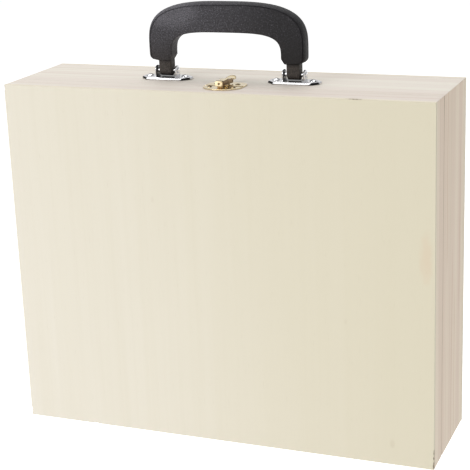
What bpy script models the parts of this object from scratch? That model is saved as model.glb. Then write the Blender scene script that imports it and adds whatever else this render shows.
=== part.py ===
"""A carrying case for art supplies: a shallow wooden lid hinged to a deeper wooden case.

Plywood panels close two frames of mitred rails. Two small butt hinges join the frames along the
bottom, a toggle latch closes them at the top, and a moulded handle folds in two steel brackets.
The case stands on its bottom rail, with the lid's panel facing -Y. Units are metres.
"""

import math

import bmesh
import bpy
from mathutils import Matrix, Vector

MM = 0.001

# Driving sizes of the case
CASE_WIDTH = 380 * MM
CASE_HEIGHT = 310 * MM
CASE_DEPTH = 105 * MM
LID_DEPTH = 27 * MM
PANEL_THICKNESS = 3 * MM
RAIL_THICKNESS = 9 * MM
SEAM_GAP = 0.4 * MM          # between the closed frames
GLUE_GAP = 0.3 * MM          # between pieces that are glued or lie on each other
RUNNING_GAP = 0.15 * MM      # round a pin, on the radius

# Hinges in the bottom seam
HINGE_X = 120 * MM           # centre of each hinge, either side of the middle
HINGE_LENGTH = 30 * MM
HINGE_BARREL_RADIUS = 1.5 * MM
HINGE_PIN_RADIUS = 0.7 * MM
HINGE_LEAF_THICKNESS = 0.8 * MM
HINGE_LEAF_HEIGHT = 7.4 * MM # the leaves' top over the case's bottom
HINGE_AXIS_HEIGHT = 1.8 * MM
HINGE_KNUCKLE_GAP = 0.3 * MM
HINGE_SCREW_X = 9 * MM       # each screw from the hinge's middle
SWING_CHAMFER = 2.2 * MM     # on both frames' bottom edges, so that the lid can swing

# Handle and its brackets. Heights are over the case's top face.
HANDLE_MIDDLE = Vector((-1 * MM, 1.5 * MM))    # x and y of the point between the pivots
HANDLE_X = 58 * MM           # centre of each bracket, from the handle's middle
HANDLE_HALF_WIDTH = 71 * MM
HANDLE_LEAN = 1.6 * MM       # the outer outline's middle, left of the pivots' middle
HANDLE_HEIGHT = 67 * MM
HANDLE_WAIST = 29 * MM       # height over which the outer outline is a superellipse
HANDLE_SQUARENESS = 3.1      # its exponent
HANDLE_LEG = 20.5 * MM       # width of the leg
HANDLE_GAP_WAIST = 20.7 * MM # height over which the finger gap is a superellipse
HANDLE_GAP_HEIGHT = 41.6 * MM
HANDLE_GAP_SQUARENESS = 3.8
HANDLE_THICKNESS = 15.5 * MM
HANDLE_SHOULDER = 16.3 * MM  # height where the leg steps in to its tongue
HANDLE_FOOT_ROUNDING = 5 * MM
HANDLE_BEVEL = 3 * MM
TONGUE_WIDTH = 11.4 * MM
TONGUE_DEPTH = 9 * MM
PIVOT_HEIGHT = 7.4 * MM
PIVOT_RADIUS = 1.8 * MM
BRACKET_LENGTH = 45.6 * MM
BRACKET_WIDTH = 18 * MM
BRACKET_PLATE = 2 * MM       # height of the plate
BRACKET_CORNER = 6 * MM      # cut off each corner
BRACKET_BEVEL = 0.9 * MM
EAR_OUTSIDE = 10 * MM        # outer face of each ear, from the bracket's middle
EAR_THICKNESS = 1.5 * MM
EAR_RADIUS = 4.2 * MM
RIVET_HEAD_RADIUS = 2.7 * MM
RIVET_HEAD = 0.9 * MM
BRACKET_SCREW_X = 16.5 * MM  # each screw from the bracket's middle
BRACKET_SCREW_HEAD = 3.3 * MM
BRACKET_SCREW_SHANK = 1.6 * MM
BRACKET_SCREW_LENGTH = 9 * MM

# Toggle latch over the top seam. Its own x is from LATCH_X, its y from the seam, and its heights
# are over the case's top face.
LATCH_X = 4.2 * MM
LATCH_SHEET = 0.7 * MM
LATCH_HALF_WIDTH = 17.3 * MM
LATCH_EDGE = 1.2 * MM        # each plate's straight edge from the seam
CATCH_REACH = 16.4 * MM
BASE_REACH = 17 * MM
BASE_SQUARENESS = 3.6        # exponent of the base plate's outline; the catch's is a half-oval
LEVER_PIVOT_Y = 5.5 * MM
LEVER_PIVOT_HEIGHT = 4.2 * MM
STRAP_PIVOT_Y = 10.5 * MM
STRAP_PIVOT_HEIGHT = 3.4 * MM
LEVER_HALF_WIDTH = 1.6 * MM
LEVER_BARREL_RADIUS = 1.4 * MM
LEVER_TIP_Y = 20.4 * MM
LEVER_TIP_HEIGHT = 6.0 * MM
LEVER_UPTURN = Vector((1.2 * MM, 1.4 * MM))    # run and rise of the lever's last bend
PADDLE_HALF_WIDTH = 4.3 * MM # the lever's wide end, behind the strap's arms
LATCH_PIN_RADIUS = 0.6 * MM
LATCH_SIDE_GAP = 0.3 * MM    # between lever, ears and strap
LATCH_EAR_RADIUS = 1.7 * MM
STRAP_TOP_HEIGHT = 7.0 * MM
STRAP_FRONT_Y = -11 * MM
STRAP_TOP_BACK_Y = 1 * MM
STRAP_EYE_RADIUS = 1.7 * MM
STRAP_CLEARANCE = 0.4 * MM   # between the strap's front wall and the hook below it
STRAP_HOLE_RADIUS = 0.9 * MM
HOOK_HALF_WIDTH = 2.3 * MM
HOOK_Y = -8.6 * MM           # the hook's upright
HOOK_HEIGHT = 2.2 * MM
HOOK_LIP = 1.4 * MM
LATCH_SCREW_HEAD = 2.2 * MM
LATCH_SCREW_SHANK = 1.0 * MM
LATCH_SCREW_LENGTH = 7 * MM
CATCH_SCREW = Vector((10.5 * MM, -6 * MM))
BASE_SCREW = Vector((9.5 * MM, 7.5 * MM))

HINGE_SCREW_HEAD = 1.6 * MM
HINGE_SCREW_SHANK = 0.8 * MM
HINGE_SCREW_LENGTH = 9 * MM
SCREW_CLEARANCE = 0.3 * MM   # on the radius of a screw's hole

SEGMENTS = 24                # sides of a round piece
FINE_SEGMENTS = 16           # sides of a small round piece

# Places worked out from the sizes
FRONT_Y = -CASE_DEPTH / 2
BACK_Y = CASE_DEPTH / 2
SEAM_Y = FRONT_Y + LID_DEPTH
LID_RAIL_SPAN = (FRONT_Y + PANEL_THICKNESS + GLUE_GAP, SEAM_Y - SEAM_GAP / 2)
CASE_RAIL_SPAN = (SEAM_Y + SEAM_GAP / 2, BACK_Y - PANEL_THICKNESS - GLUE_GAP)
TOP = CASE_HEIGHT
PLATE_BOTTOM = TOP + GLUE_GAP
EAR_INNER = LEVER_HALF_WIDTH + LATCH_SIDE_GAP
EAR_OUTER = EAR_INNER + LATCH_SHEET
STRAP_INNER = EAR_OUTER + LATCH_SIDE_GAP
STRAP_OUTER = STRAP_INNER + LATCH_SHEET


# ---------------------------------------------------------------- helpers

def clear_scene():
    for obj in list(bpy.data.objects):
        bpy.data.objects.remove(obj)


def collection(name):
    made = bpy.data.collections.new(name)
    bpy.context.scene.collection.children.link(made)
    return made


def material(name, colour, roughness, metallic):
    """A Principled BSDF with one colour."""
    made = bpy.data.materials.new(name)
    made.use_nodes = True
    shader = made.node_tree.nodes["Principled BSDF"]
    shader.inputs["Base Color"].default_value = (*colour, 1)
    shader.inputs["Roughness"].default_value = roughness
    shader.inputs["Metallic"].default_value = metallic
    return made


def add(name, data, finish=None, group=None):
    """An object for this mesh or curve, in the case's collection unless another is given."""
    obj = bpy.data.objects.new(name, data)
    (group or parts).objects.link(obj)
    if finish:
        data.materials.append(finish)
    return obj


def box_mesh(name, low, high):
    """A box between two corners."""
    low, high = Vector(low), Vector(high)
    mesh = bpy.data.meshes.new(name)
    work = bmesh.new()
    bmesh.ops.create_cube(work, size=1)
    bmesh.ops.scale(work, vec=high - low, verts=work.verts)
    bmesh.ops.translate(work, vec=(low + high) / 2, verts=work.verts)
    work.to_mesh(mesh)
    work.free()
    return mesh


def round_mesh(name, radius, start, end, segments=SEGMENTS):
    """A capped cylinder between two points."""
    start, end = Vector(start), Vector(end)
    along = end - start
    mesh = bpy.data.meshes.new(name)
    work = bmesh.new()
    bmesh.ops.create_cone(
        work, cap_ends=True, segments=segments, radius1=radius, radius2=radius, depth=along.length,
        matrix=Matrix.Translation((start + end) / 2) @ along.to_track_quat("Z", "Y").to_matrix().to_4x4())
    work.to_mesh(mesh)
    work.free()
    return mesh


def outline_mesh(name, points, plane, low, high):
    """A flat closed outline, filled and extruded from low to high across its plane.

    plane "XY" takes (x, y) points and extrudes along Z, "XZ" takes (x, z) and extrudes along Y,
    and "YZ" takes (y, z) and extrudes along X.
    """
    curve = bpy.data.curves.new(name, "CURVE")
    curve.dimensions = "2D"
    curve.fill_mode = "BOTH"
    curve.extrude = (high - low) / 2
    spline = curve.splines.new("POLY")
    spline.points.add(len(points) - 1)
    for point, (u, v) in zip(spline.points, points):
        point.co = (u, v, 0, 1)
    spline.use_cyclic_u = True
    holder = bpy.data.objects.new(name + "_outline", curve)
    parts.objects.link(holder)
    bpy.context.view_layer.update()
    graph = bpy.context.evaluated_depsgraph_get()
    mesh = bpy.data.meshes.new_from_object(holder.evaluated_get(graph))
    bpy.data.objects.remove(holder)
    mesh.name = name
    mesh.materials.clear()
    work = bmesh.new()
    work.from_mesh(mesh)
    bmesh.ops.remove_doubles(work, verts=work.verts, dist=0.01 * MM)
    for level in (-curve.extrude, curve.extrude):
        end = [face for face in work.faces
               if all(abs(vertex.co.z - level) < 0.01 * MM for vertex in face.verts)]
        bmesh.ops.dissolve_faces(work, faces=end)
    bmesh.ops.recalc_face_normals(work, faces=work.faces)
    work.to_mesh(mesh)
    work.free()
    middle = (low + high) / 2
    if plane == "XY":
        mesh.transform(Matrix.Translation((0, 0, middle)))
    elif plane == "XZ":
        mesh.transform(Matrix.Translation((0, middle, 0)) @ Matrix.Rotation(math.pi / 2, 4, "X"))
    else:
        mesh.transform(Matrix.Translation((middle, 0, 0)) @ Matrix.Rotation(math.pi / 2, 4, "Z")
                       @ Matrix.Rotation(math.pi / 2, 4, "X"))
    return mesh


def arc(centre, radius, start, end, steps, squash=1.0):
    """Points along a round or elliptic arc, from one angle to another in degrees."""
    found = []
    for step in range(steps + 1):
        angle = math.radians(start + (end - start) * step / steps)
        found.append((centre[0] + radius * math.cos(angle), centre[1] + radius * squash * math.sin(angle)))
    return found


def turned(name, profile, finish, segments=FINE_SEGMENTS):
    """A solid of revolution about Z, from (radius, height) points that run down its outer side."""
    mesh = bpy.data.meshes.new(name)
    mesh.from_pydata([(radius, 0, height) for radius, height in profile],
                     [(i, i + 1) for i in range(len(profile) - 1)], [])
    obj = add(name, mesh, finish)
    screw = obj.modifiers.new("Turn", "SCREW")
    screw.axis = "Z"
    screw.steps = screw.render_steps = segments
    screw.use_merge_vertices = True
    screw.merge_threshold = 0.01 * MM
    return obj


def place(obj, location, direction=(0, 0, 1)):
    """Puts an object at a point, with its own Z along a direction."""
    obj.location = location
    obj.rotation_mode = "QUATERNION"
    obj.rotation_quaternion = Vector(direction).to_track_quat("Z", "Y")
    return obj


def cutter(name, mesh):
    obj = add(name, mesh, group=cutters)
    obj.hide_render = True
    obj.display_type = "WIRE"
    return obj


def combine(obj, other, operation):
    change = obj.modifiers.new(f"{operation.title()} {other.name}", "BOOLEAN")
    change.operation = operation
    change.object = other
    change.solver = "EXACT"


def cut(obj, *others):
    for other in others:
        combine(obj, other, "DIFFERENCE")


def join(obj, *meshes):
    """Boolean union of an object with further meshes, which stay as hidden helpers."""
    for mesh in meshes:
        combine(obj, cutter(f"{obj.name}_{mesh.name}", mesh), "UNION")


def smooth(obj, angle=35):
    obj.data.shade_smooth()
    obj.data.set_sharp_from_angle(angle=math.radians(angle))


def sink_mesh(name, point, out, wide, narrow):
    """A countersink: a cone that narrows from the point inwards, and a short cylinder outwards."""
    mesh = bpy.data.meshes.new(name)
    work = bmesh.new()
    depth = wide - narrow
    bmesh.ops.create_cone(work, cap_ends=True, segments=FINE_SEGMENTS, radius1=narrow - depth / 4,
                          radius2=wide + depth / 4, depth=1.5 * depth)
    work.to_mesh(mesh)
    work.free()
    turn = out.to_track_quat("Z", "Y").to_matrix().to_4x4()
    mesh.transform(Matrix.Translation(point - out * depth / 2) @ turn)
    return mesh


def plate_screw(name, seat_point, head, shank, length, finish, plate, board):
    """An upright domed screw over a plate, with its holes through the plate and into the board."""
    crown = 0.5 * head
    profile = [(0, GLUE_GAP + crown), (0.55 * head, GLUE_GAP + 0.85 * crown), (head, GLUE_GAP + 0.2 * crown),
               (head, GLUE_GAP), (shank, GLUE_GAP), (shank, shank - length), (0, -length)]
    place(turned(name, profile, finish), seat_point)
    top, bottom = seat_point + Vector((0, 0, MM)), seat_point - Vector((0, 0, length + MM))
    hole = cutter(f"{name}_hole", round_mesh("hole", shank + SCREW_CLEARANCE, top, bottom, FINE_SEGMENTS))
    cut(plate, hole)
    cut(board, hole)


def flush_screw(name, point, direction, head, shank, length, finish):
    """A countersunk screw whose flat head ends at the point, with its shank behind it."""
    profile = [(0, 0), (head, 0), (shank, shank - head), (shank, shank - length), (0, -length)]
    place(turned(name, profile, finish), point, direction)


# ---------------------------------------------------------------- wooden box

def panel(name, low_y):
    mesh = box_mesh(name, (-CASE_WIDTH / 2, low_y, 0), (CASE_WIDTH / 2, low_y + PANEL_THICKNESS, CASE_HEIGHT))
    return add(name, mesh, panel_wood)


def rail(name, side, span):
    """One board of a mitred frame, between two Y values. Its outer face is on the case's outside."""
    length = CASE_WIDTH if side in ("top", "bottom") else CASE_HEIGHT
    across = CASE_HEIGHT if side in ("top", "bottom") else CASE_WIDTH
    outer = length / 2 - GLUE_GAP / math.sqrt(2)
    mesh = box_mesh(name, (-outer, span[0], -RAIL_THICKNESS), (outer, span[1], 0))
    for vertex in mesh.vertices:
        if vertex.co.z < -RAIL_THICKNESS / 2:
            vertex.co.x *= (outer - RAIL_THICKNESS) / outer
    obj = add(name, mesh, rail_wood)
    turn = {"top": 0, "right": 90, "bottom": 180, "left": -90}[side]
    obj.rotation_euler = (0, math.radians(turn), 0)
    away = Vector((math.sin(math.radians(turn)), 0, math.cos(math.radians(turn))))
    obj.location = Vector((0, 0, CASE_HEIGHT / 2)) + away * across / 2
    return obj


def frame(prefix, span):
    return {side: rail(f"{prefix}_{side}_rail", side, span) for side in ("top", "bottom", "left", "right")}


def swing_relief():
    """A square bar on edge along the bottom seam: it chamfers both frames where the lid swings."""
    half = SWING_CHAMFER + SEAM_GAP / 2
    reach = CASE_WIDTH / 2 + PANEL_THICKNESS
    mesh = outline_mesh("swing_relief", [(-half, 0), (0, -half), (half, 0), (0, half)], "YZ", -reach, reach)
    mesh.transform(Matrix.Translation((0, SEAM_Y, 0)))
    return cutter("swing_relief", mesh)


# ---------------------------------------------------------------- hinges

def hinge(side):
    """A butt hinge in the bottom seam: two leaves in shallow pockets, three knuckles and a pin."""
    name = "hinge_left" if side < 0 else "hinge_right"
    axis = Vector((side * HINGE_X, SEAM_Y, HINGE_AXIS_HEIGHT))
    half = Vector((HINGE_LENGTH / 2, 0, 0))
    knuckle = (HINGE_LENGTH - 2 * HINGE_KNUCKLE_GAP) / 3
    knuckle_starts = [-HINGE_LENGTH / 2 + number * (knuckle + HINGE_KNUCKLE_GAP) for number in range(3)]
    bore = cutter(f"{name}_bore", round_mesh("bore", HINGE_PIN_RADIUS + RUNNING_GAP, axis - 1.1 * half,
                                             axis + 1.1 * half, FINE_SEGMENTS))
    inner = GLUE_GAP / 2                       # each leaf's face, from the axis
    outer = inner + HINGE_LEAF_THICKNESS
    screw_height = (HINGE_AXIS_HEIGHT + HINGE_BARREL_RADIUS + HINGE_LEAF_HEIGHT) / 2
    pocket = cutter(f"{name}_pocket", box_mesh(
        "pocket", axis - half - Vector((GLUE_GAP, outer + GLUE_GAP, 2 * HINGE_AXIS_HEIGHT)),
        (axis.x + half.x + GLUE_GAP, axis.y + outer + GLUE_GAP, HINGE_LEAF_HEIGHT + GLUE_GAP)))
    side_gap = Vector((GLUE_GAP, 0, 0))
    relief = cutter(f"{name}_relief", round_mesh("relief", HINGE_BARREL_RADIUS + GLUE_GAP,
                                                 axis - half - side_gap, axis + half + side_gap))

    for owner, board, way, knuckles in (("lid", lid_frame["bottom"], -1, (0, 2)),
                                        ("case", case_frame["bottom"], 1, (1,))):
        low_y, high_y = sorted((axis.y + way * inner, axis.y + way * outer))
        starts = [axis.x + knuckle_starts[number] for number in knuckles]
        foot = HINGE_AXIS_HEIGHT + 0.8 * HINGE_BARREL_RADIUS
        root = HINGE_AXIS_HEIGHT + HINGE_BARREL_RADIUS + RUNNING_GAP
        left, right = axis.x - half.x, axis.x + half.x
        outline = [(left, root)]
        for start in starts:
            near, far = start + HINGE_KNUCKLE_GAP, start + knuckle - HINGE_KNUCKLE_GAP
            outline += [(near, root), (near, foot), (far, foot), (far, root)]
        outline += [(right, root), (right, HINGE_LEAF_HEIGHT), (left, HINGE_LEAF_HEIGHT)]
        sheet = outline_mesh(f"{name}_{owner}_sheet", outline, "XZ", low_y, high_y)
        plate = add(f"{name}_{owner}_leaf", sheet, brass)
        for number, start in enumerate(starts):
            join(plate, round_mesh(f"knuckle_{number}", HINGE_BARREL_RADIUS, (start, axis.y, axis.z),
                                   (start + knuckle, axis.y, axis.z), FINE_SEGMENTS))
        cut(plate, bore)
        cut(board, pocket, relief)
        out = Vector((0, -way, 0))
        for number, offset in enumerate((-HINGE_SCREW_X, HINGE_SCREW_X), 1):
            head = Vector((axis.x + offset, axis.y + way * inner, screw_height))
            flush_screw(f"{name}_{owner}_screw_{number}", head, out, HINGE_SCREW_HEAD, HINGE_SCREW_SHANK,
                        HINGE_SCREW_LENGTH, brass)
            sink = cutter(f"{name}_{owner}_sink_{number}", sink_mesh(
                "sink", head, out, HINGE_SCREW_HEAD + SCREW_CLEARANCE / 2,
                HINGE_SCREW_SHANK + SCREW_CLEARANCE / 2))
            hole = cutter(f"{name}_{owner}_hole_{number}", round_mesh(
                "hole", HINGE_SCREW_SHANK + SCREW_CLEARANCE, head, head - out * (HINGE_SCREW_LENGTH + MM),
                FINE_SEGMENTS))
            cut(plate, sink)
            cut(board, hole)
    smooth(add(f"{name}_pin", round_mesh(f"{name}_pin", HINGE_PIN_RADIUS, axis - half, axis + half,
                                         FINE_SEGMENTS), brass))


# ---------------------------------------------------------------- handle

def superellipse(half, base, rise, exponent, angles):
    """Points (x, height) of a superellipse's quarter over its base, at these angles in degrees."""
    found = []
    for degrees in angles:
        angle = math.radians(degrees)
        across, up = max(math.cos(angle), 0) ** (2 / exponent), math.sin(angle) ** (2 / exponent)
        found.append((half * across, base + rise * up))
    return found


def grip_outline():
    """The grip from the front, as (x, height) points: one superellipse round another, on two feet."""
    half = HANDLE_HALF_WIDTH
    tongue_outer, tongue_inner = HANDLE_X + TONGUE_WIDTH / 2, HANDLE_X - TONGUE_WIDTH / 2
    corner = HANDLE_FOOT_ROUNDING
    outer = [(tongue_outer, HANDLE_SHOULDER)]
    outer += arc((half - corner, HANDLE_SHOULDER + corner), corner, -75, 0, 3)
    outer += superellipse(half, HANDLE_WAIST, HANDLE_HEIGHT - HANDLE_WAIST, HANDLE_SQUARENESS,
                          (0, 12, 24, 35, 45, 55, 65, 76, 90))
    inner = superellipse(half - HANDLE_LEG, HANDLE_GAP_WAIST, HANDLE_GAP_HEIGHT - HANDLE_GAP_WAIST,
                         HANDLE_GAP_SQUARENESS, (90, 72, 58, 45, 32, 18, 0))
    inner += [(tongue_inner, HANDLE_SHOULDER)]
    left_outer = [(-x - HANDLE_LEAN, z) for x, z in reversed(outer[1:-1])] + [(-tongue_outer, HANDLE_SHOULDER)]
    outer = outer[:1] + [(x - HANDLE_LEAN, z) for x, z in outer[1:]]
    left_inner = [(-x, z) for x, z in reversed(inner[1:])]
    return outer + left_outer + left_inner + inner


def grip():
    """The moulded grip, its two tongues and their pivot bores, upright over the brackets."""
    centre_x, centre_y = HANDLE_MIDDLE
    half_depth = HANDLE_THICKNESS / 2
    obj = add("handle_grip", outline_mesh("handle_grip", [(centre_x + x, TOP + z) for x, z in grip_outline()],
                                          "XZ", centre_y - half_depth, centre_y + half_depth), black_plastic)
    edge = obj.modifiers.new("Rounded edges", "BEVEL")
    edge.width = HANDLE_BEVEL
    edge.segments = 2
    edge.limit_method = "ANGLE"
    edge.angle_limit = math.radians(60)
    for side in (-1, 1):
        name = "left" if side < 0 else "right"
        pivot = Vector((centre_x + side * HANDLE_X, centre_y, TOP + PIVOT_HEIGHT))
        half_width = Vector((TONGUE_WIDTH / 2, 0, 0))
        root = HANDLE_SHOULDER - PIVOT_HEIGHT + HANDLE_BEVEL + MM
        points = arc((0, 0), TONGUE_DEPTH / 2, 180, 360, 10)
        points += [(TONGUE_DEPTH / 2, root), (-TONGUE_DEPTH / 2, root)]
        join(obj, outline_mesh(f"tongue_{name}", [(pivot.y + y, pivot.z + z) for y, z in points], "YZ",
                               pivot.x - half_width.x, pivot.x + half_width.x))
        cut(obj, cutter(f"tongue_bore_{name}", round_mesh("bore", PIVOT_RADIUS + RUNNING_GAP,
                                                          pivot - 2 * half_width, pivot + 2 * half_width)))


def bracket(side):
    """A plate with cut corners and two ears, its pivot pin and its two screws."""
    name = "left" if side < 0 else "right"
    middle = Vector((HANDLE_MIDDLE.x + side * HANDLE_X, HANDLE_MIDDLE.y, PLATE_BOTTOM))
    pivot = Vector((middle.x, middle.y, TOP + PIVOT_HEIGHT))
    end, edge, corner = BRACKET_LENGTH / 2, BRACKET_WIDTH / 2, BRACKET_CORNER
    points = [(end - corner, -edge), (end, -edge + corner), (end, edge - corner), (end - corner, edge)]
    points += [(-x, -y) for x, y in points]
    plate = add(f"handle_bracket_{name}", outline_mesh(
        f"plate_{name}", [(middle.x + x, middle.y + y) for x, y in points], "XY", middle.z,
        middle.z + BRACKET_PLATE), chrome)
    rounding = plate.modifiers.new("Rounded edges", "BEVEL")
    rounding.width = BRACKET_BEVEL
    rounding.segments = 2
    rounding.limit_method = "ANGLE"
    rounding.angle_limit = math.radians(60)
    for label, way in (("inner", -side), ("outer", side)):
        low_x, high_x = sorted((middle.x + way * EAR_OUTSIDE, middle.x + way * (EAR_OUTSIDE - EAR_THICKNESS)))
        foot = PLATE_BOTTOM + BRACKET_PLATE / 2
        ear = [(pivot.y + y, pivot.z + z) for y, z in arc((0, 0), EAR_RADIUS, 0, 180, 12)]
        ear += [(pivot.y - EAR_RADIUS, foot), (pivot.y + EAR_RADIUS, foot)]
        join(plate, outline_mesh(f"ear_{label}", ear, "YZ", low_x, high_x))
    across = Vector((EAR_OUTSIDE + RIVET_HEAD, 0, 0))
    cut(plate, cutter(f"ear_bore_{name}", round_mesh("bore", PIVOT_RADIUS + RUNNING_GAP, pivot - across,
                                                     pivot + across)))
    seat = EAR_OUTSIDE + RUNNING_GAP
    half_pin = [(0, seat + RIVET_HEAD), (0.6 * RIVET_HEAD_RADIUS, seat + 0.85 * RIVET_HEAD),
                (RIVET_HEAD_RADIUS, seat + 0.2 * RIVET_HEAD), (RIVET_HEAD_RADIUS, seat), (PIVOT_RADIUS, seat)]
    pin = half_pin + [(radius, -height) for radius, height in reversed(half_pin)]
    place(turned(f"handle_pin_{name}", pin, chrome, SEGMENTS), pivot, (1, 0, 0))
    for number, offset in enumerate((-BRACKET_SCREW_X, BRACKET_SCREW_X), 1):
        seat_point = middle + Vector((offset, 0, BRACKET_PLATE))
        plate_screw(f"handle_screw_{name}_{number}", seat_point, BRACKET_SCREW_HEAD, BRACKET_SCREW_SHANK,
                    BRACKET_SCREW_LENGTH, chrome, plate, case_frame["top"])


# ---------------------------------------------------------------- latch

def latch_point(x, y, height):
    return Vector((LATCH_X + x, SEAM_Y + y, TOP + height))


def latch_box(name, low, high):
    return box_mesh(name, latch_point(*low), latch_point(*high))


def latch_side(name, points, low_x, high_x):
    """A side outline of the latch, (y, height) points, extruded across X."""
    return outline_mesh(name, [(SEAM_Y + y, TOP + height) for y, height in points], "YZ",
                        LATCH_X + low_x, LATCH_X + high_x)


def latch_bore(name, y, height, reach):
    return cutter(name, round_mesh("bore", LATCH_PIN_RADIUS + RUNNING_GAP, latch_point(-reach, y, height),
                                   latch_point(reach, y, height), FINE_SEGMENTS))


def latch_pin(name, y, height, reach):
    smooth(add(name, round_mesh(name, LATCH_PIN_RADIUS, latch_point(-reach, y, height),
                                latch_point(reach, y, height), FINE_SEGMENTS), brass))


def latch_plate(name, way, reach, exponent=2.0):
    """A plate with its straight edge along the seam. way is -1 on the lid and 1 on the case."""
    half = superellipse(LATCH_HALF_WIDTH, LATCH_EDGE, reach - LATCH_EDGE, exponent,
                        (0, 10, 20, 30, 40, 50, 60, 70, 80, 90))
    half += [(-x, y) for x, y in reversed(half[:-1])]
    outline = [(LATCH_X + x, SEAM_Y + way * y) for x, y in half]
    sheet = outline_mesh(f"{name}_sheet", outline, "XY", PLATE_BOTTOM, PLATE_BOTTOM + LATCH_SHEET)
    return add(name, sheet, brass)


def latch_screws(prefix, plate, board, spot):
    for number, side in enumerate((-1, 1), 1):
        seat_point = latch_point(side * spot.x, spot.y, GLUE_GAP + LATCH_SHEET)
        plate_screw(f"{prefix}_screw_{number}", seat_point, LATCH_SCREW_HEAD, LATCH_SCREW_SHANK,
                    LATCH_SCREW_LENGTH, brass, plate, board)


def latch_catch():
    """The lid's plate, with a low hook whose lip points forwards."""
    plate = latch_plate("latch_catch", -1, CATCH_REACH)
    upright = latch_box("upright", (-HOOK_HALF_WIDTH, HOOK_Y, GLUE_GAP + LATCH_SHEET / 2),
                        (HOOK_HALF_WIDTH, HOOK_Y + LATCH_SHEET, HOOK_HEIGHT))
    lip = latch_box("lip", (-HOOK_HALF_WIDTH, HOOK_Y - HOOK_LIP, HOOK_HEIGHT - LATCH_SHEET),
                    (HOOK_HALF_WIDTH, HOOK_Y + LATCH_SHEET / 2, HOOK_HEIGHT))
    join(plate, upright, lip)
    latch_screws("latch_catch", plate, lid_frame["top"], CATCH_SCREW)


def latch_base():
    """The case's plate, with two ears for the lever's pin."""
    plate = latch_plate("latch_base", 1, BASE_REACH, BASE_SQUARENESS)
    foot = GLUE_GAP + LATCH_SHEET / 2
    ear = arc((LEVER_PIVOT_Y, LEVER_PIVOT_HEIGHT), LATCH_EAR_RADIUS, 0, 180, 8)
    ear += [(LEVER_PIVOT_Y - LATCH_EAR_RADIUS, foot), (LEVER_PIVOT_Y + LATCH_EAR_RADIUS, foot)]
    join(plate, latch_side("ear_right", ear, EAR_INNER, EAR_OUTER),
         latch_side("ear_left", ear, -EAR_OUTER, -EAR_INNER))
    cut(plate, latch_bore("latch_ear_bore", LEVER_PIVOT_Y, LEVER_PIVOT_HEIGHT, 2 * EAR_OUTER))
    latch_screws("latch_base", plate, case_frame["top"], BASE_SCREW)
    latch_pin("latch_lever_pin", LEVER_PIVOT_Y, LEVER_PIVOT_HEIGHT, EAR_OUTER)


def latch_lever():
    """The lever: a strip on two barrels, which widens behind the strap and turns up at its round tip."""
    half = LATCH_SHEET / 2
    over_pin = 0.6 * LEVER_BARREL_RADIUS
    paddle_y = STRAP_PIVOT_Y + STRAP_EYE_RADIUS + 2 * LATCH_SIDE_GAP
    spine = [Vector(point) for point in (
        (LEVER_PIVOT_Y, LEVER_PIVOT_HEIGHT + over_pin), (STRAP_PIVOT_Y, STRAP_PIVOT_HEIGHT + over_pin),
        (paddle_y, STRAP_PIVOT_HEIGHT + 0.2 * over_pin),
        (0.5 * (paddle_y + LEVER_TIP_Y), STRAP_PIVOT_HEIGHT + 0.7 * over_pin),
        (LEVER_TIP_Y - LEVER_UPTURN.x, LEVER_TIP_HEIGHT - LEVER_UPTURN.y), (LEVER_TIP_Y, LEVER_TIP_HEIGHT))]
    upper, lower = [], []
    for number, point in enumerate(spine):
        along = (spine[min(number + 1, len(spine) - 1)] - spine[max(number - 1, 0)]).normalized()
        across = Vector((-along.y, along.x)) * half
        upper.append(tuple(point + across))
        lower.append(tuple(point - across))
    lever = add("latch_lever", latch_side("lever_sheet", list(reversed(upper)) + lower, -PADDLE_HALF_WIDTH,
                                          PADDLE_HALF_WIDTH), brass)
    back = LEVER_TIP_Y + LATCH_SHEET
    round_tip = arc((0, back - PADDLE_HALF_WIDTH), PADDLE_HALF_WIDTH, 0, 180, 12)
    strip = LEVER_HALF_WIDTH - LATCH_SIDE_GAP / 3
    front = LEVER_PIVOT_Y - LEVER_BARREL_RADIUS
    keep = [(strip, front), (strip, paddle_y), (PADDLE_HALF_WIDTH, paddle_y)] + round_tip
    keep += [(-PADDLE_HALF_WIDTH, paddle_y), (-strip, paddle_y), (-strip, front)]
    plan = outline_mesh("lever_plan", [(LATCH_X + x, SEAM_Y + y) for x, y in keep], "XY",
                        TOP, TOP + 2 * LEVER_TIP_HEIGHT)
    combine(lever, cutter("lever_plan", plan), "INTERSECT")
    for name, y, height in (("pivot", LEVER_PIVOT_Y, LEVER_PIVOT_HEIGHT),
                            ("strap", STRAP_PIVOT_Y, STRAP_PIVOT_HEIGHT)):
        ends = [latch_point(way * LEVER_HALF_WIDTH, y, height) for way in (-1, 1)]
        join(lever, round_mesh(f"{name}_barrel", LEVER_BARREL_RADIUS, *ends, FINE_SEGMENTS))
        cut(lever, latch_bore(f"lever_{name}_bore", y, height, 2 * LEVER_HALF_WIDTH))
    latch_pin("latch_strap_pin", STRAP_PIVOT_Y, STRAP_PIVOT_HEIGHT, STRAP_OUTER)


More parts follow.
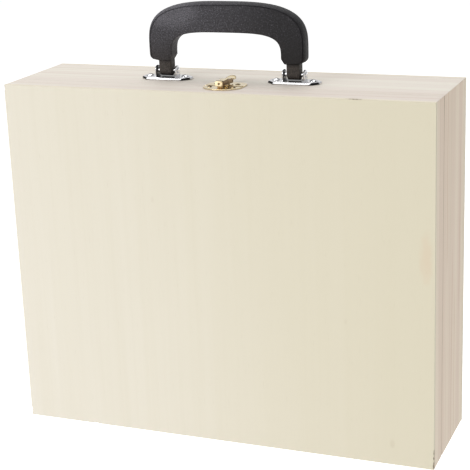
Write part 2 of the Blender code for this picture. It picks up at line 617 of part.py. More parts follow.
def latch_strap():
    """The strap that the lever draws: two arms outside the ears, a top and a front wall with a hole."""
    wall_foot = HOOK_HEIGHT + STRAP_CLEARANCE
    top_low = STRAP_TOP_HEIGHT - LATCH_SHEET
    arm = arc((STRAP_PIVOT_Y, STRAP_PIVOT_HEIGHT), STRAP_EYE_RADIUS, -110, 60, 8)
    arm += [(STRAP_TOP_BACK_Y, STRAP_TOP_HEIGHT), (STRAP_FRONT_Y, STRAP_TOP_HEIGHT),
            (STRAP_FRONT_Y, wall_foot), (STRAP_TOP_BACK_Y, wall_foot)]
    strap = add("latch_strap", latch_side("strap_block", arm, -STRAP_OUTER, STRAP_OUTER), brass)
    hollow = latch_box("strap_hollow", (-STRAP_INNER, STRAP_FRONT_Y + LATCH_SHEET, 0),
                       (STRAP_INNER, STRAP_TOP_BACK_Y, top_low))
    opening = latch_box("strap_opening", (-STRAP_INNER, STRAP_TOP_BACK_Y - MM, 0),
                        (STRAP_INNER, STRAP_PIVOT_Y + 2 * STRAP_EYE_RADIUS, 2 * STRAP_TOP_HEIGHT))
    cut(strap, cutter("strap_hollow", hollow), cutter("strap_opening", opening),
        latch_bore("strap_bore", STRAP_PIVOT_Y, STRAP_PIVOT_HEIGHT, 2 * STRAP_OUTER))
    hole_height = (wall_foot + STRAP_TOP_HEIGHT) / 2
    hole = round_mesh("hole", STRAP_HOLE_RADIUS, latch_point(0, STRAP_FRONT_Y - MM, hole_height),
                      latch_point(0, STRAP_FRONT_Y + 2 * MM, hole_height), FINE_SEGMENTS)
    cut(strap, cutter("strap_hole", hole))


# ---------------------------------------------------------------- the whole case

def carry(name, point, members, parent=None):
    """An empty on a joint's axis that carries the pieces of one moving body."""
    empty = bpy.data.objects.new(name, None)
    parts.objects.link(empty)
    empty.location = point
    for member in members:
        member.parent = empty
        member.matrix_parent_inverse = Matrix.Translation(point).inverted()
    return empty


clear_scene()
parts = collection("art_supply_case")
cutters = collection("cutters")

panel_wood = material("poplar plywood", (0.83, 0.76, 0.62), 0.62, 0)
rail_wood = material("paulownia", (0.74, 0.65, 0.54), 0.68, 0)
black_plastic = material("black plastic", (0.03, 0.028, 0.03), 0.55, 0)
chrome = material("nickel plate", (0.82, 0.82, 0.82), 0.15, 1)
brass = material("brass plate", (0.83, 0.66, 0.36), 0.25, 1)

panel("lid_panel", FRONT_Y)
panel("case_back_panel", BACK_Y - PANEL_THICKNESS)
lid_frame = frame("lid", LID_RAIL_SPAN)
case_frame = frame("case", CASE_RAIL_SPAN)
groove = swing_relief()
for rails in (lid_frame, case_frame):
    for side in ("bottom", "left", "right"):
        cut(rails[side], groove)
for side in (-1, 1):
    hinge(side)
grip()
for side in (-1, 1):
    bracket(side)
latch_catch()
latch_base()
latch_lever()
latch_strap()

pieces = {obj.name: obj for obj in parts.objects}
lid_pieces = [obj for name, obj in pieces.items()
              if name.startswith(("lid_", "latch_catch")) or "_lid_" in name]
carry("lid_axis", Vector((0, SEAM_Y, HINGE_AXIS_HEIGHT)), lid_pieces)
carry("handle_axis", Vector((*HANDLE_MIDDLE, TOP + PIVOT_HEIGHT)), [pieces["handle_grip"]])
strap_axis = carry("strap_axis", latch_point(0, STRAP_PIVOT_Y, STRAP_PIVOT_HEIGHT), [pieces["latch_strap"]])
carry("lever_axis", latch_point(0, LEVER_PIVOT_Y, LEVER_PIVOT_HEIGHT),
      [pieces["latch_lever"], pieces["latch_strap_pin"], strap_axis])
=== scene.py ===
"""The looks of a wooden carrying case for art supplies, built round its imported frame.

Boards of pale poplar ply close two mitred frames of straight-grained wood. A black moulded grip with
a leather grain stands in two nickel-plated brackets, and a small brass toggle latch closes the lid.
Every surface is worked out as an array of points; lengths are in metres.
"""

import math

import bmesh
import bpy
import numpy as np
from mathutils import Matrix, Vector


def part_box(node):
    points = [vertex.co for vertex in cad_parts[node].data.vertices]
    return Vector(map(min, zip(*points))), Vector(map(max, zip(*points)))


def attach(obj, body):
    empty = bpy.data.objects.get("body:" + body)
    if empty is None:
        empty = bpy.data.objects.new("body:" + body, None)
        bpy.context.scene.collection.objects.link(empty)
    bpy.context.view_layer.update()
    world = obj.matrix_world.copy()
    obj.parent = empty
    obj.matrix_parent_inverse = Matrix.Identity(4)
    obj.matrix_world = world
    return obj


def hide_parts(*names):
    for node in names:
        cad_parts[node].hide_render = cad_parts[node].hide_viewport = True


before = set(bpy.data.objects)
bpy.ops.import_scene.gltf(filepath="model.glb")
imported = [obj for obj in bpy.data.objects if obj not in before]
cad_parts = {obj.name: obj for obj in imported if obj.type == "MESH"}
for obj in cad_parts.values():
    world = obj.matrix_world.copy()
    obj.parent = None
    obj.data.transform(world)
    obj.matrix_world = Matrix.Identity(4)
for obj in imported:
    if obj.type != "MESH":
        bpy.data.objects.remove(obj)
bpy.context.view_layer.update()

MM = 0.001

# ---------------------------------------------------------------- places taken from the frame

CASE_LOW = Vector((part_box("lid_panel")[0].x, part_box("lid_panel")[0].y, 0))
CASE_HIGH = Vector((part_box("lid_panel")[1].x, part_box("case_back_panel")[1].y,
                    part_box("lid_panel")[1].z))
TOP = CASE_HIGH.z
SEAM_Y = (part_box("lid_top_rail")[1].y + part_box("case_top_rail")[0].y) / 2
RAIL_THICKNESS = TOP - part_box("lid_top_rail")[0].z


def middle_of(node):
    """The middle of a CAD node's box."""
    low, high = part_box(node)
    return (low + high) / 2


PIVOT_LEFT = middle_of("handle_pin_left")
PIVOT_RIGHT = middle_of("handle_pin_right")
GRIP_MIDDLE = (PIVOT_LEFT + PIVOT_RIGHT) / 2
LEVER_PIVOT = middle_of("latch_lever_pin")
STRAP_PIVOT = middle_of("latch_strap_pin")
LATCH_X = LEVER_PIVOT.x


# ---------------------------------------------------------------- surfaces

def quads(rows, columns, wrap=False):
    """Quads of a grid of points numbered row by row; with wrap, each row is a closed ring."""
    i, j = np.meshgrid(np.arange(rows - 1), np.arange(columns if wrap else columns - 1),
                       indexing="ij")
    right = (j + 1) % columns
    here, above = i * columns, (i + 1) * columns
    return np.stack([here + j, here + right, above + right, above + j], -1).reshape(-1, 4)


def tube(rings):
    """A closed shell from rings of points, shape (ring, point, 3).

    The first and the last ring are each a single point, repeated.
    """
    return rings.reshape(-1, 3), quads(rings.shape[0], rings.shape[1], wrap=True)


def slab(lower, upper):
    """A closed shell between two grids of points of one shape, with walls round their borders."""
    rows, columns = lower.shape[:2]
    count = rows * columns
    face = quads(rows, columns)
    number = np.arange(count).reshape(rows, columns)
    border = np.concatenate([number[0, :-1], number[:-1, -1], number[-1, :0:-1], number[:0:-1, 0]])
    following = np.roll(border, -1)
    wall = np.stack([border, following, following + count, border + count], -1)
    points = np.concatenate([lower.reshape(-1, 3), upper.reshape(-1, 3)])
    return points, np.concatenate([face[:, ::-1], face + count, wall])


def sheet(middle, thickness, normal=None):
    """Sheet metal round a middle surface: half the thickness goes each way along the normal."""
    if normal is None:
        normal = np.cross(np.gradient(middle, axis=0), np.gradient(middle, axis=1))
        normal /= np.maximum(np.linalg.norm(normal, axis=-1, keepdims=True), 1e-12)
    offset = np.asarray(normal) * thickness / 2
    return slab(middle - offset, middle + offset)


def chords(half_width, steps_across, steps_along, power=2.0):
    """Plan grid of half a rounded outline: at x = w sin(a) its chord ends at (1 - |x/w|^n)^(1/n).

    Returns x, and y as a share of the outline's reach, from 0 on the straight edge.
    """
    across = np.sin(np.linspace(-math.pi / 2, math.pi / 2, steps_across))
    reach = (1 - np.abs(across) ** power).clip(0) ** (1 / power)
    along = np.sin(np.linspace(0, math.pi / 2, steps_along))
    x = np.broadcast_to(across[:, None] * half_width, (steps_across, steps_along))
    return x, reach[:, None] * along[None, :]


def ring_of(low, high, radius, arc_steps=4, side_steps=5):
    """Points round a rectangle with round corners: each side is followed by a quarter circle."""
    low, high = np.array(low, float), np.array(high, float)
    centres = [(high[0], high[1], 0), (low[0], high[1], 90), (low[0], low[1], 180),
               (high[0], low[1], 270)]
    corners = []
    for x, y, turn in centres:
        angle = np.radians(np.linspace(turn, turn + 90, arc_steps + 1))
        inward = np.array([x - radius if x == high[0] else x + radius,
                           y - radius if y == high[1] else y + radius])
        corners.append(inward + radius * np.stack([np.cos(angle), np.sin(angle)], -1))
    found = []
    share = (1 - np.cos(np.linspace(0, math.pi, side_steps + 2)[1:-1])) / 2
    for corner, following in zip(corners, corners[1:] + corners[:1]):
        found += [corner, corner[-1] + (following[0] - corner[-1]) * share[:, None]]
    return np.concatenate(found)


def rounded(distance, radius):
    """Height lost near a rounded edge: r - sqrt(r^2 - (r - distance)^2) within r of the edge."""
    near = (radius - distance).clip(0, radius)
    return radius - np.sqrt(radius ** 2 - near ** 2)


def lathe(profile, origin, direction=(0, 0, 1), steps=48):
    """A turned piece: (radius, height) pairs swept round a direction through the origin."""
    profile = np.array(profile, float)
    angle = np.linspace(0, 2 * math.pi, steps, endpoint=False)
    local = np.stack([profile[:, :1] * np.cos(angle), profile[:, :1] * np.sin(angle),
                      np.broadcast_to(profile[:, 1:], (len(profile), steps))], -1)
    turn = np.array(Vector(direction).to_track_quat("Z", "Y").to_matrix())
    return tube(local @ turn.T + np.array(origin))


def dimmed(shell, amount):
    """A shell whose points carry how much painted shade and painted dark reflection lie on its plating:
    one number, or one for each point.
    """
    points = shell[0]
    return points, shell[1], np.broadcast_to(np.asarray(amount, float).ravel(), (len(points),))


def make(name, shells, finish, body, stands_for, sharp=38, marks=None):
    """One object from closed shells. It rides on its body and stands for its CAD nodes.

    Marks are numbers for each point, which its material reads by name.
    """
    starts = np.cumsum([0] + [len(shell[0]) for shell in shells])
    points = np.concatenate([shell[0] for shell in shells])
    faces = np.concatenate([shell[1] + start for shell, start in zip(shells, starts)])
    if marks is None and any(len(shell) > 2 for shell in shells):
        marks = {"painted_dark": np.concatenate([shell[2] if len(shell) > 2 else np.zeros(len(shell[0]))
                                        for shell in shells])}
    mesh = bpy.data.meshes.new(name)
    mesh.from_pydata(points, [], faces)
    for mark, values in (marks or {}).items():
        attribute = mesh.attributes.new(mark, "FLOAT", "POINT")
        attribute.data.foreach_set("value", values.ravel().astype(np.float32))
    work = bmesh.new()
    work.from_mesh(mesh)
    bmesh.ops.remove_doubles(work, verts=work.verts, dist=0.002 * MM)
    bmesh.ops.dissolve_degenerate(work, dist=0.001 * MM, edges=work.edges)
    bmesh.ops.recalc_face_normals(work, faces=work.faces)
    work.to_mesh(mesh)
    work.free()
    mesh.shade_smooth()
    mesh.set_sharp_from_angle(angle=math.radians(sharp))
    mesh.materials.append(finish)
    obj = bpy.data.objects.new(name, mesh)
    bpy.context.scene.collection.objects.link(obj)
    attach(obj, body)
    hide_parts(*stands_for)


# ---------------------------------------------------------------- materials

def shade(red, green, blue):
    """A colour from its 0-255 screen values, as linear light."""
    given = np.array([red, green, blue]) / 255
    linear = np.where(given > 0.04045, ((given + 0.055) / 1.055) ** 2.4, given / 12.92)
    return (*(float(v) for v in linear), 1.0)


class Term:
    """A socket that takes part in arithmetic. Each operator adds the Math node that works it out."""

    def __init__(self, maker, socket):
        self.maker, self.socket = maker, socket

    def math(self, operation, first, second=0.0):
        return self.maker.node("ShaderNodeMath", {"operation": operation}, {0: first, 1: second})

    def __add__(self, other):
        return self.math("ADD", self, other)

    def __radd__(self, other):
        return self.math("ADD", other, self)

    def __sub__(self, other):
        return self.math("SUBTRACT", self, other)

    def __rsub__(self, other):
        return self.math("SUBTRACT", other, self)

    def __mul__(self, other):
        return self.math("MULTIPLY", self, other)

    def __rmul__(self, other):
        return self.math("MULTIPLY", other, self)

    def __truediv__(self, other):
        return self.math("DIVIDE", self, other)

    def __pow__(self, other):
        return self.math("POWER", self, other)

    def __abs__(self):
        return self.math("ABSOLUTE", self)


class Nodes:
    """A node tree, and the one method that adds nodes to it."""

    def __init__(self, tree):
        self.tree = tree

    def node(self, kind, settings=(), inputs=(), out=0):
        """Any node: its settings first, then the values or links of its sockets. One output."""
        made = self.tree.nodes.new(kind)
        for key, value in dict(settings).items():
            setattr(made, key, value)
        for key, value in dict(inputs).items():
            if isinstance(value, Term):
                self.tree.links.new(value.socket, made.inputs[key])
            else:
                made.inputs[key].default_value = value
        return Term(self, made.outputs[out])

    def step(self, value, low, high, start=0.0, end=1.0):
        """A smooth step from start to end while value goes from low to high."""
        return self.node("ShaderNodeMapRange", {"interpolation_type": "SMOOTHSTEP"},
                         {"Value": value, "From Min": low, "From Max": high,
                          "To Min": start, "To Max": end})


class Finish(Nodes):
    """A material: its Principled shader, and the ways in which its patterns are made."""

    def __init__(self, name, roughness=0.5, metallic=0.0):
        self.material = bpy.data.materials.new(name)
        self.material.use_nodes = True
        super().__init__(self.material.node_tree)
        self.shader = self.tree.nodes["Principled BSDF"]
        self.shader.inputs["Roughness"].default_value = roughness
        self.shader.inputs["Metallic"].default_value = metallic
        self.place = self.node("ShaderNodeTexCoord", out="Object")
        self.facing = self.node("ShaderNodeTexCoord", out="Normal")

    def axes(self, vector):
        """The three numbers of a vector."""
        return [self.node("ShaderNodeSeparateXYZ", (), {0: vector}, out) for out in ("X", "Y", "Z")]

    def noise(self, stretch, detail=3.0, roughness=0.55, distortion=0.0, shift=(0, 0, 0)):
        """Cloudy noise on the object's own coordinates, with so many waves to the metre each way."""
        moved = self.node("ShaderNodeMapping", (),
                          {"Vector": self.place, "Location": shift, "Scale": stretch})
        return self.node("ShaderNodeTexNoise", (),
                         {"Vector": moved, "Scale": 1.0, "Detail": detail,
                          "Roughness": roughness, "Distortion": distortion})

    def cells(self, stretch, feature="F1"):
        """Distance to the nearest of scattered points, or to the border between their cells."""
        moved = self.node("ShaderNodeMapping", (), {"Vector": self.place, "Scale": stretch})
        return self.node("ShaderNodeTexVoronoi", {"feature": feature},
                         {"Vector": moved, "Scale": 1.0}, "Distance")

    def mix(self, share, first, second):
        """Two colours mixed by a share."""
        return self.node("ShaderNodeMix", {"data_type": "RGBA"}, {0: share, 6: first, 7: second}, 2)

    def mark(self, name):
        """A number that the piece's own mesh carries at each point."""
        return self.node("ShaderNodeAttribute", {"attribute_name": name}, (), "Fac")

    def finish(self, colour, roughness, height, strength, distance):
        """Joins colour, roughness and relief to the shader, and returns the material."""
        relief = self.node("ShaderNodeBump", (),
                           {"Strength": strength, "Distance": distance, "Height": height})
        for socket, value in (("Base Color", colour), ("Roughness", roughness), ("Normal", relief)):
            self.tree.links.new(value.socket, self.shader.inputs[socket])
        return self.material


def plywood():
    """Poplar ply: a cream face veneer with faint upright figure and pores, and layered edges."""
    f = Finish("poplar_plywood", 0.6)
    x, y, z = f.axes(f.place)
    figure = f.noise((34, 20, 1.6), 4.0, 0.6, 0.35)
    bands = f.noise((150, 60, 2.4), 3.0, 0.6, 0.2, (3, 0, 1))
    fibre = f.noise((1500, 500, 30), 3.0, 0.6)
    pores = f.step(f.noise((2300, 900, 95), 2.0, 0.5, 0.0, (9, 2, 4)), 0.66, 0.78)
    cloud = f.noise((5, 5, 4), 2.0, 0.5, 0.0, (1, 7, 3))
    colour = f.mix(f.step(figure, 0.3, 0.75) * 0.24, shade(229, 223, 209), shade(219, 212, 191))
    colour = f.mix(f.step(bands, 0.35, 0.8) * 0.14, colour, shade(212, 204, 182))
    # darker and more olive towards the right: partly painted shade for the light falling off from the
    # left, partly the veneer's own tone
    colour = f.mix(f.step(x + z * 0.3 + cloud * 0.07, -0.16, 0.3) * 0.8, colour, shade(215, 207, 181))
    colour = f.mix(pores * 0.16, colour, shade(177, 163, 135))
    knots = f.step(f.cells((26, 26, 14)), 0.03, 0.075, 1.0, 0.0)
    colour = f.mix(knots * 0.12, colour, shade(168, 146, 114))
    uneven = f.noise((160, 160, 90), 3.0, 0.6, 0.0, (6, 6, 2))
    # a faint blush near the right edge: an ellipse with an uneven border
    ellipse = ((x - 0.1825) / 0.006) ** 2.0 + ((z - 0.183) / 0.022) ** 2.0
    blush = f.step(ellipse + uneven * 1.6, 0.6, 2.2, 1.0, 0.0)
    colour = f.mix(blush * 0.28, colour, shade(216, 185, 155))
    # the ply's edges: two pale faces and a darker core whose end grain runs across
    up, out, _ = f.axes(f.facing)
    edge = f.step(abs(out), 0.5, 0.8, 1.0, 0.0)
    depth = abs(abs(y) - (CASE_HIGH.y - 1.5 * MM))
    core = f.step(depth, 0.62 * MM, 0.8 * MM, 1.0, 0.0)
    end_grain = f.noise((700, 2600, 700), 2.0, 0.6)
    ply = f.mix(core * (0.15 + end_grain * 0.4), shade(238, 231, 212), shade(200, 184, 156))
    glue = f.step(abs(depth - 0.72 * MM), 0.03 * MM, 0.14 * MM, 1.0, 0.0)
    ply = f.mix(glue * 0.2, ply, shade(150, 122, 92))
    # painted shade: the ply's edges that face left and right are darker than those that face up and
    # down
    ply = f.mix(f.step(abs(up), 0.6, 0.9) * 0.55, ply, shade(196, 188, 164))
    colour = f.mix(edge, colour, ply)
    colour = f.mix(f.mark("worn"), colour, shade(100, 76, 50))
    rough = 0.5 + fibre * 0.16 + edge * 0.12
    height = fibre * 0.5 + bands * 0.35 - pores * 0.8 + edge * end_grain * 0.8
    return f.finish(colour, rough, height, 0.35, 0.12 * MM)


def straight_grain(name, along, tones, lines=()):
    """Solid pale wood: streaks that run along the board in the three given tones.

    Each line (y, low z, high z) is one stronger growth line of an upright board.
    """
    f = Finish(name, 0.62)

    def wave(fast, slow):
        return tuple(slow if number == along else fast for number in range(3))

    pale, warm, cool = tones
    _, y, z = f.axes(f.place)
    wide = f.noise(wave(46, 0.9), 3.0, 0.55, 0.15)
    streak = f.noise(wave(300, 1.5), 4.0, 0.62, 0.1, (2, 5, 1))
    line = f.step(f.noise(wave(760, 2.4), 2.0, 0.5, 0.1, (7, 1, 3)), 0.55, 0.72)
    fibre = f.noise(wave(1900, 40), 3.0, 0.6)
    pores = f.step(f.noise(wave(2600, 130), 2.0, 0.5, 0.0, (4, 4, 8)), 0.66, 0.78)
    colour = f.mix(f.step(wide, 0.35, 0.65), pale, warm)
    colour = f.mix(f.step(streak, 0.42, 0.68) * 0.6, colour, warm)
    colour = f.mix(f.step(streak, 0.3, 0.44, 1.0, 0.0) * 0.6, colour, cool)
    colour = f.mix(line * 0.4, colour, shade(186, 160, 136))
    wander = f.noise((0, 0, 9), 2.0, 0.5, 0.0, (1, 1, 1)) * 0.006 - 0.003
    for place, low, high in lines:
        near = f.step(abs(y + wander - place), 0.2 * MM, 1.1 * MM, 1.0, 0.0)
        here = near * f.step(z, low, low + 0.03) * f.step(z, high - 0.05, high, 1.0, 0.0)
        colour = f.mix(here * 0.6, colour, shade(188, 150, 116))
    colour = f.mix(pores * 0.25, colour, shade(165, 140, 112))
    # a darker line along the seam on faces that don't face front or back: partly painted shade of the
    # gap between lid and case, partly dirt in the joint; on upright boards it is stronger towards the
    # case's top
    seam = f.step(abs(y - SEAM_Y), 0.5 * MM, 1.3 * MM, 1.0, 0.0)
    seam = seam * f.step(abs(f.axes(f.facing)[1]), 0.75, 0.95, 1.0, 0.0)
    gap_shade_and_grime = f.step(z, TOP - 0.03, TOP - 0.006, 0.4, 0.85) if along == 2 else 0.08
    colour = f.mix(seam * gap_shade_and_grime, colour, shade(146, 124, 102))
    rough = 0.54 + fibre * 0.18
    height = fibre * 0.6 + streak * 0.4 - pores * 0.9 - line * 0.3
    return f.finish(colour, rough, height, 0.4, 0.15 * MM)


def grained_plastic():
    """Black plastic moulded with a leather grain: pebbles parted by fine creases.

    Its colour carries painted light: a painted highlight at the top left, painted shade towards the
    right and low on the legs, painted glints on the upper part, painted shade in the creases, and
    lighter, browner tongues for light bounced from the wooden top.
    """
    f = Finish("grained_black_plastic", 0.5)
    f.shader.inputs["Specular IOR Level"].default_value = 0.3
    x, _, z = f.axes(f.place)
    crown = f.step(f.cells((760, 760, 760), "DISTANCE_TO_EDGE"), 0.0, 0.2)
    fine = f.noise((1500, 1500, 1500), 3.0, 0.6)
    patch = f.noise((120, 120, 120), 3.0, 0.6)
    # painted shade: the grip darkens from left to right, as the light comes from the left
    right = f.step(x, -0.035, 0.055)
    colour = f.mix(right, shade(72, 70, 75), shade(31, 29, 32))
    # a painted highlight on the upper left shoulder
    ellipse = ((x + 0.05) / 0.024) ** 2.0 + ((z - TOP - 0.058) / 0.013) ** 2.0
    shoulder_highlight = f.step(ellipse, 0.1, 1.6, 1.0, 0.0)
    colour = f.mix(shoulder_highlight * 0.7, colour, shade(112, 110, 116))
    # painted shade: the legs darken and turn browner low down, most at the right
    low = f.step(z + patch * 0.012, TOP + 0.02, TOP + 0.05, 1.0, 0.0)
    colour = f.mix(low * 0.85, colour, f.mix(right, shade(58, 53, 52), shade(30, 27, 26)))
    # painted light bounced from the wooden top: the tongues are lighter and browner
    foot = f.step(z, TOP + 0.013, TOP + 0.018, 1.0, 0.0)
    colour = f.mix(foot * 0.9, colour, shade(84, 77, 71))
    grain = f.noise((820, 820, 820), 2.0, 0.6, 0.0, (5, 2, 8))
    # painted glints on the grain, strongest high up and on the left
    painted_glint = f.step(grain, 0.48, 0.74) * f.step(z, TOP + 0.022, TOP + 0.05, 0.25, 1.0)
    colour = f.mix(painted_glint * f.step(x, -0.05, 0.06, 0.7, 0.2), colour, shade(124, 122, 130))
    colour = f.mix(f.step(grain, 0.28, 0.48, 0.5, 0.0), colour, shade(22, 20, 22))
    # painted shade in the creases between the pebbles
    colour = f.mix((1 - crown) * 0.6, colour, shade(24, 22, 23))
    rough = 0.38 + fine * 0.2 + patch * 0.12
    return f.finish(colour, rough, crown * 0.8 + fine * 0.5, 0.6, 0.3 * MM)


def plated(name, colour, tarnish, shadow, roughness, spread):
    """Bright plate: brushing in its gloss, a little tarnish, and painted shade and painted dark
    reflections where it is marked dim.
    """
    f = Finish(name, roughness, 1.0)
    brushed = f.noise((2400, 500, 2400), 3.0, 0.6)
    cloud = f.noise((240, 240, 240), 3.0, 0.6, 0.0, (3, 3, 3))
    pits = f.step(f.noise((1700, 1700, 1700), 2.0, 0.5), 0.68, 0.8)
    tone = f.mix(f.step(cloud, 0.4, 0.75) * 0.4, colour, tarnish)
    tone = f.mix(pits * 0.4, tone, tarnish)
    # painted shade and painted dark reflections, where the piece marks them
    painted_dark = f.mark("painted_dark")
    tone = f.mix(painted_dark, tone, shadow)
    rough = roughness + brushed * spread + f.step(cloud, 0.5, 0.8) * spread + painted_dark * 0.12
    return f.finish(tone, rough, brushed * 0.4 - pits * 0.6, 0.2, 0.02 * MM)


ply_finish = plywood()
grain_x = straight_grain("pale_wood_lengthwise", 0,
                         (shade(233, 228, 216), shade(225, 214, 204), shade(228, 227, 212)))
grain_z = straight_grain("pale_wood_upright", 2,
                         (shade(229, 216, 196), shade(218, 200, 181), shade(220, 209, 185)),
                         ((0.008, -0.05, 0.19), (0.018, -0.05, 0.16),
                          (0.034, 0.1, 0.28), (-0.012, 0.15, 0.36)))
plastic = grained_plastic()
nickel = plated("bright_nickel", shade(240, 240, 242), shade(200, 198, 198), shade(26, 25, 26),
                0.05, 0.08)
brass = plated("bright_brass", shade(248, 231, 190), shade(208, 170, 108), shade(104, 66, 18),
               0.1, 0.08)

for name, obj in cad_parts.items():
    metal = nickel if name.startswith("handle_") else brass
    obj.data.materials.clear()
    obj.data.materials.append(grain_x if name.endswith("rail") else metal)


# ---------------------------------------------------------------- wooden box

EASE = 0.22 * MM              # radius on the edges of boards and panels
RELIEF = 2.4 * MM             # the bottom chamfer's depth at the seam
SEAM_GROOVE = 0.5 * MM        # how far the boards' outer edges draw in at the seam
MITRE_GAP = 0.03 * MM         # each board's end from the mitre's plane
CAP_STEPS = (0, 0.5, 0.8, 0.93, 0.96, 0.985, 1)      # rings that close a board's end
PLY_DEPTH = 3.27 * MM         # from a panel's face to its inner side
DEEPEST_CHIP = 2.4 * MM
CHIP_BORDER = 1 * MM          # chips draw in the outline within this distance of it


def board(name, side, span, finish, body):
    """One mitred board: a rounded rectangle carried along the frame's side.

    Its ends are at half - depth, so both faces of a mitre meet, and at the bottom seam they also keep
    clear of a bar on edge: height above the bottom >= relief - |y - seam|.
    """
    level = side in ("top", "bottom")
    half = (CASE_HIGH.x - CASE_LOW.x) / 2 if level else TOP / 2
    ring = ring_of((span[0], 0), (span[1], RAIL_THICKNESS), EASE, 4, 9)
    groove = SEAM_GROOVE - np.abs(ring[:, 0] - SEAM_Y)
    ring[:, 1] = np.where(ring[:, 1] < RAIL_THICKNESS / 2, ring[:, 1] + groove.clip(0), ring[:, 1])
    centre = np.array([(span[0] + span[1]) / 2, RAIL_THICKNESS / 2])
    inset = np.array([0.29, 0.5, 0.75, 1.0]) * 2 * EASE / (2 * half)
    stations = np.concatenate([inset, np.linspace(0.02, 0.98, 13), 1 - inset[::-1]])
    share = np.concatenate([np.zeros(len(CAP_STEPS)), stations, np.ones(len(CAP_STEPS))])[:, None]
    shrink = np.concatenate([CAP_STEPS, np.ones(len(stations)), CAP_STEPS[::-1]])[:, None]
    y = centre[0] + (ring[:, 0] - centre[0]) * shrink
    depth = centre[1] + (ring[:, 1] - centre[1]) * shrink
    low = -half + MITRE_GAP + (depth if level else np.maximum(depth, RELIEF - np.abs(y - SEAM_Y)))
    high = half - MITRE_GAP - depth
    along = low + (high - low) * share
    corner = rounded(half - np.abs(along), 2 * EASE)
    depth = np.maximum(depth, corner)
    if level:
        points = (along, y, TOP - depth)
    else:
        way = 1 if side == "right" else -1
        points = (way * (CASE_HIGH.x - depth), y, along + TOP / 2)
    make(name, [tube(np.stack(points, -1))], finish, body, [f"{body}_{side}_rail"])


def ply_panel(name, outer_y, way, body, node, chips):
    """A ply board. Its face is rounded over at the edges and broken by chips.

    Each chip (x, z, reach along x, reach along z, depth) lowers the face by depth * exp(-distance^2),
    and the plan shrinks by a share of it.
    """
    def lines(low, high, spots):
        """Places of the grid's lines: even, closer at both ends, and closest at the chips."""
        near_end = np.array([0.05, 0.15, 0.3, 0.5, 0.8, 1.4]) * MM
        base = [np.linspace(low, high, 41), low + near_end, high - near_end]
        base += [np.linspace(spot - 2.2 * reach, spot + 2.2 * reach, 23) for spot, reach in spots]
        found = np.unique(np.concatenate(base).clip(low, high).round(6))
        return found[np.concatenate([[True], np.diff(found) > 0.02 * MM])]

    xs = lines(CASE_LOW.x, CASE_HIGH.x, [(c[0], c[2]) for c in chips])
    zs = lines(0.0, TOP, [(c[1], c[3]) for c in chips])
    x, z = np.meshgrid(xs, zs, indexing="ij")
    dent = np.zeros_like(x)
    for place_x, place_z, reach_x, reach_z, depth in chips:
        ripple = 1 + 0.5 * np.sin((x * 2.1 + z * 1.7) / MM)
        far = ((x - place_x) / reach_x) ** 2 + ((z - place_z) / reach_z) ** 2
        dent += depth * ripple * np.exp(-far)
    edge_x, edge_z = np.minimum(x - CASE_LOW.x, CASE_HIGH.x - x), np.minimum(z, TOP - z)
    edge = np.minimum(edge_x, edge_z)
    fall = rounded(edge, EASE) + dent
    pull = 0.6 * dent * np.exp(-(edge / (0.6 * MM)) ** 2)
    x = x - np.sign(x) * pull * (edge_x < CHIP_BORDER)
    z = z - np.sign(z - TOP / 2) * pull * (edge_z < CHIP_BORDER)
    outer = np.stack([x, outer_y - way * fall.clip(0, DEEPEST_CHIP), z], -1)
    inner = np.stack([x, np.full_like(x, outer_y - way * PLY_DEPTH), z], -1)
    worn = (dent / (0.35 * MM)).clip(0, 1) ** 0.7
    edge_wear = np.exp(-(edge / (0.35 * MM)) ** 2) * 0.04
    marks = np.stack([worn * 0.25, (worn + edge_wear).clip(0, 1) * 0.85])
    make(name, [slab(inner, outer)], ply_finish, body, [node], 30, {"worn": marks})


lid_span = (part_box("lid_top_rail")[0].y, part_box("lid_top_rail")[1].y)
case_span = (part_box("case_top_rail")[0].y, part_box("case_top_rail")[1].y)
for body, span in (("lid", lid_span), ("case", case_span)):
    board(f"{body}_top_board", "top", span, grain_x, body)
    board(f"{body}_left_board", "left", span, grain_z, body)
    board(f"{body}_right_board", "right", span, grain_z, body)

ply_panel("lid_ply", CASE_LOW.y, -1, "lid", "lid_panel", (
    (-0.190, 0.307, 0.5 * MM, 1.8 * MM, 0.8 * MM),
    (-0.190, 0.005, 0.5 * MM, 3.2 * MM, 0.6 * MM),
    (-0.124, 0.000, 3.0 * MM, 0.5 * MM, 0.7 * MM),
    (-0.133, 0.000, 0.9 * MM, 0.4 * MM, 0.5 * MM),
    (0.190, 0.0155, 0.4 * MM, 1.7 * MM, 0.35 * MM),
    (0.190, 0.0105, 0.4 * MM, 1.3 * MM, 0.6 * MM),
    (0.190, 0.0032, 0.55 * MM, 2.6 * MM, 0.8 * MM),
    (0.125, 0.310, 4.0 * MM, 0.35 * MM, 0.3 * MM)))
ply_panel("back_ply", CASE_HIGH.y, 1, "case", "case_back_panel", (
    (0.150, 0.000, 2.0 * MM, 0.5 * MM, 0.5 * MM),
    (-0.190, 0.210, 0.5 * MM, 2.5 * MM, 0.5 * MM)))


# ---------------------------------------------------------------- grip

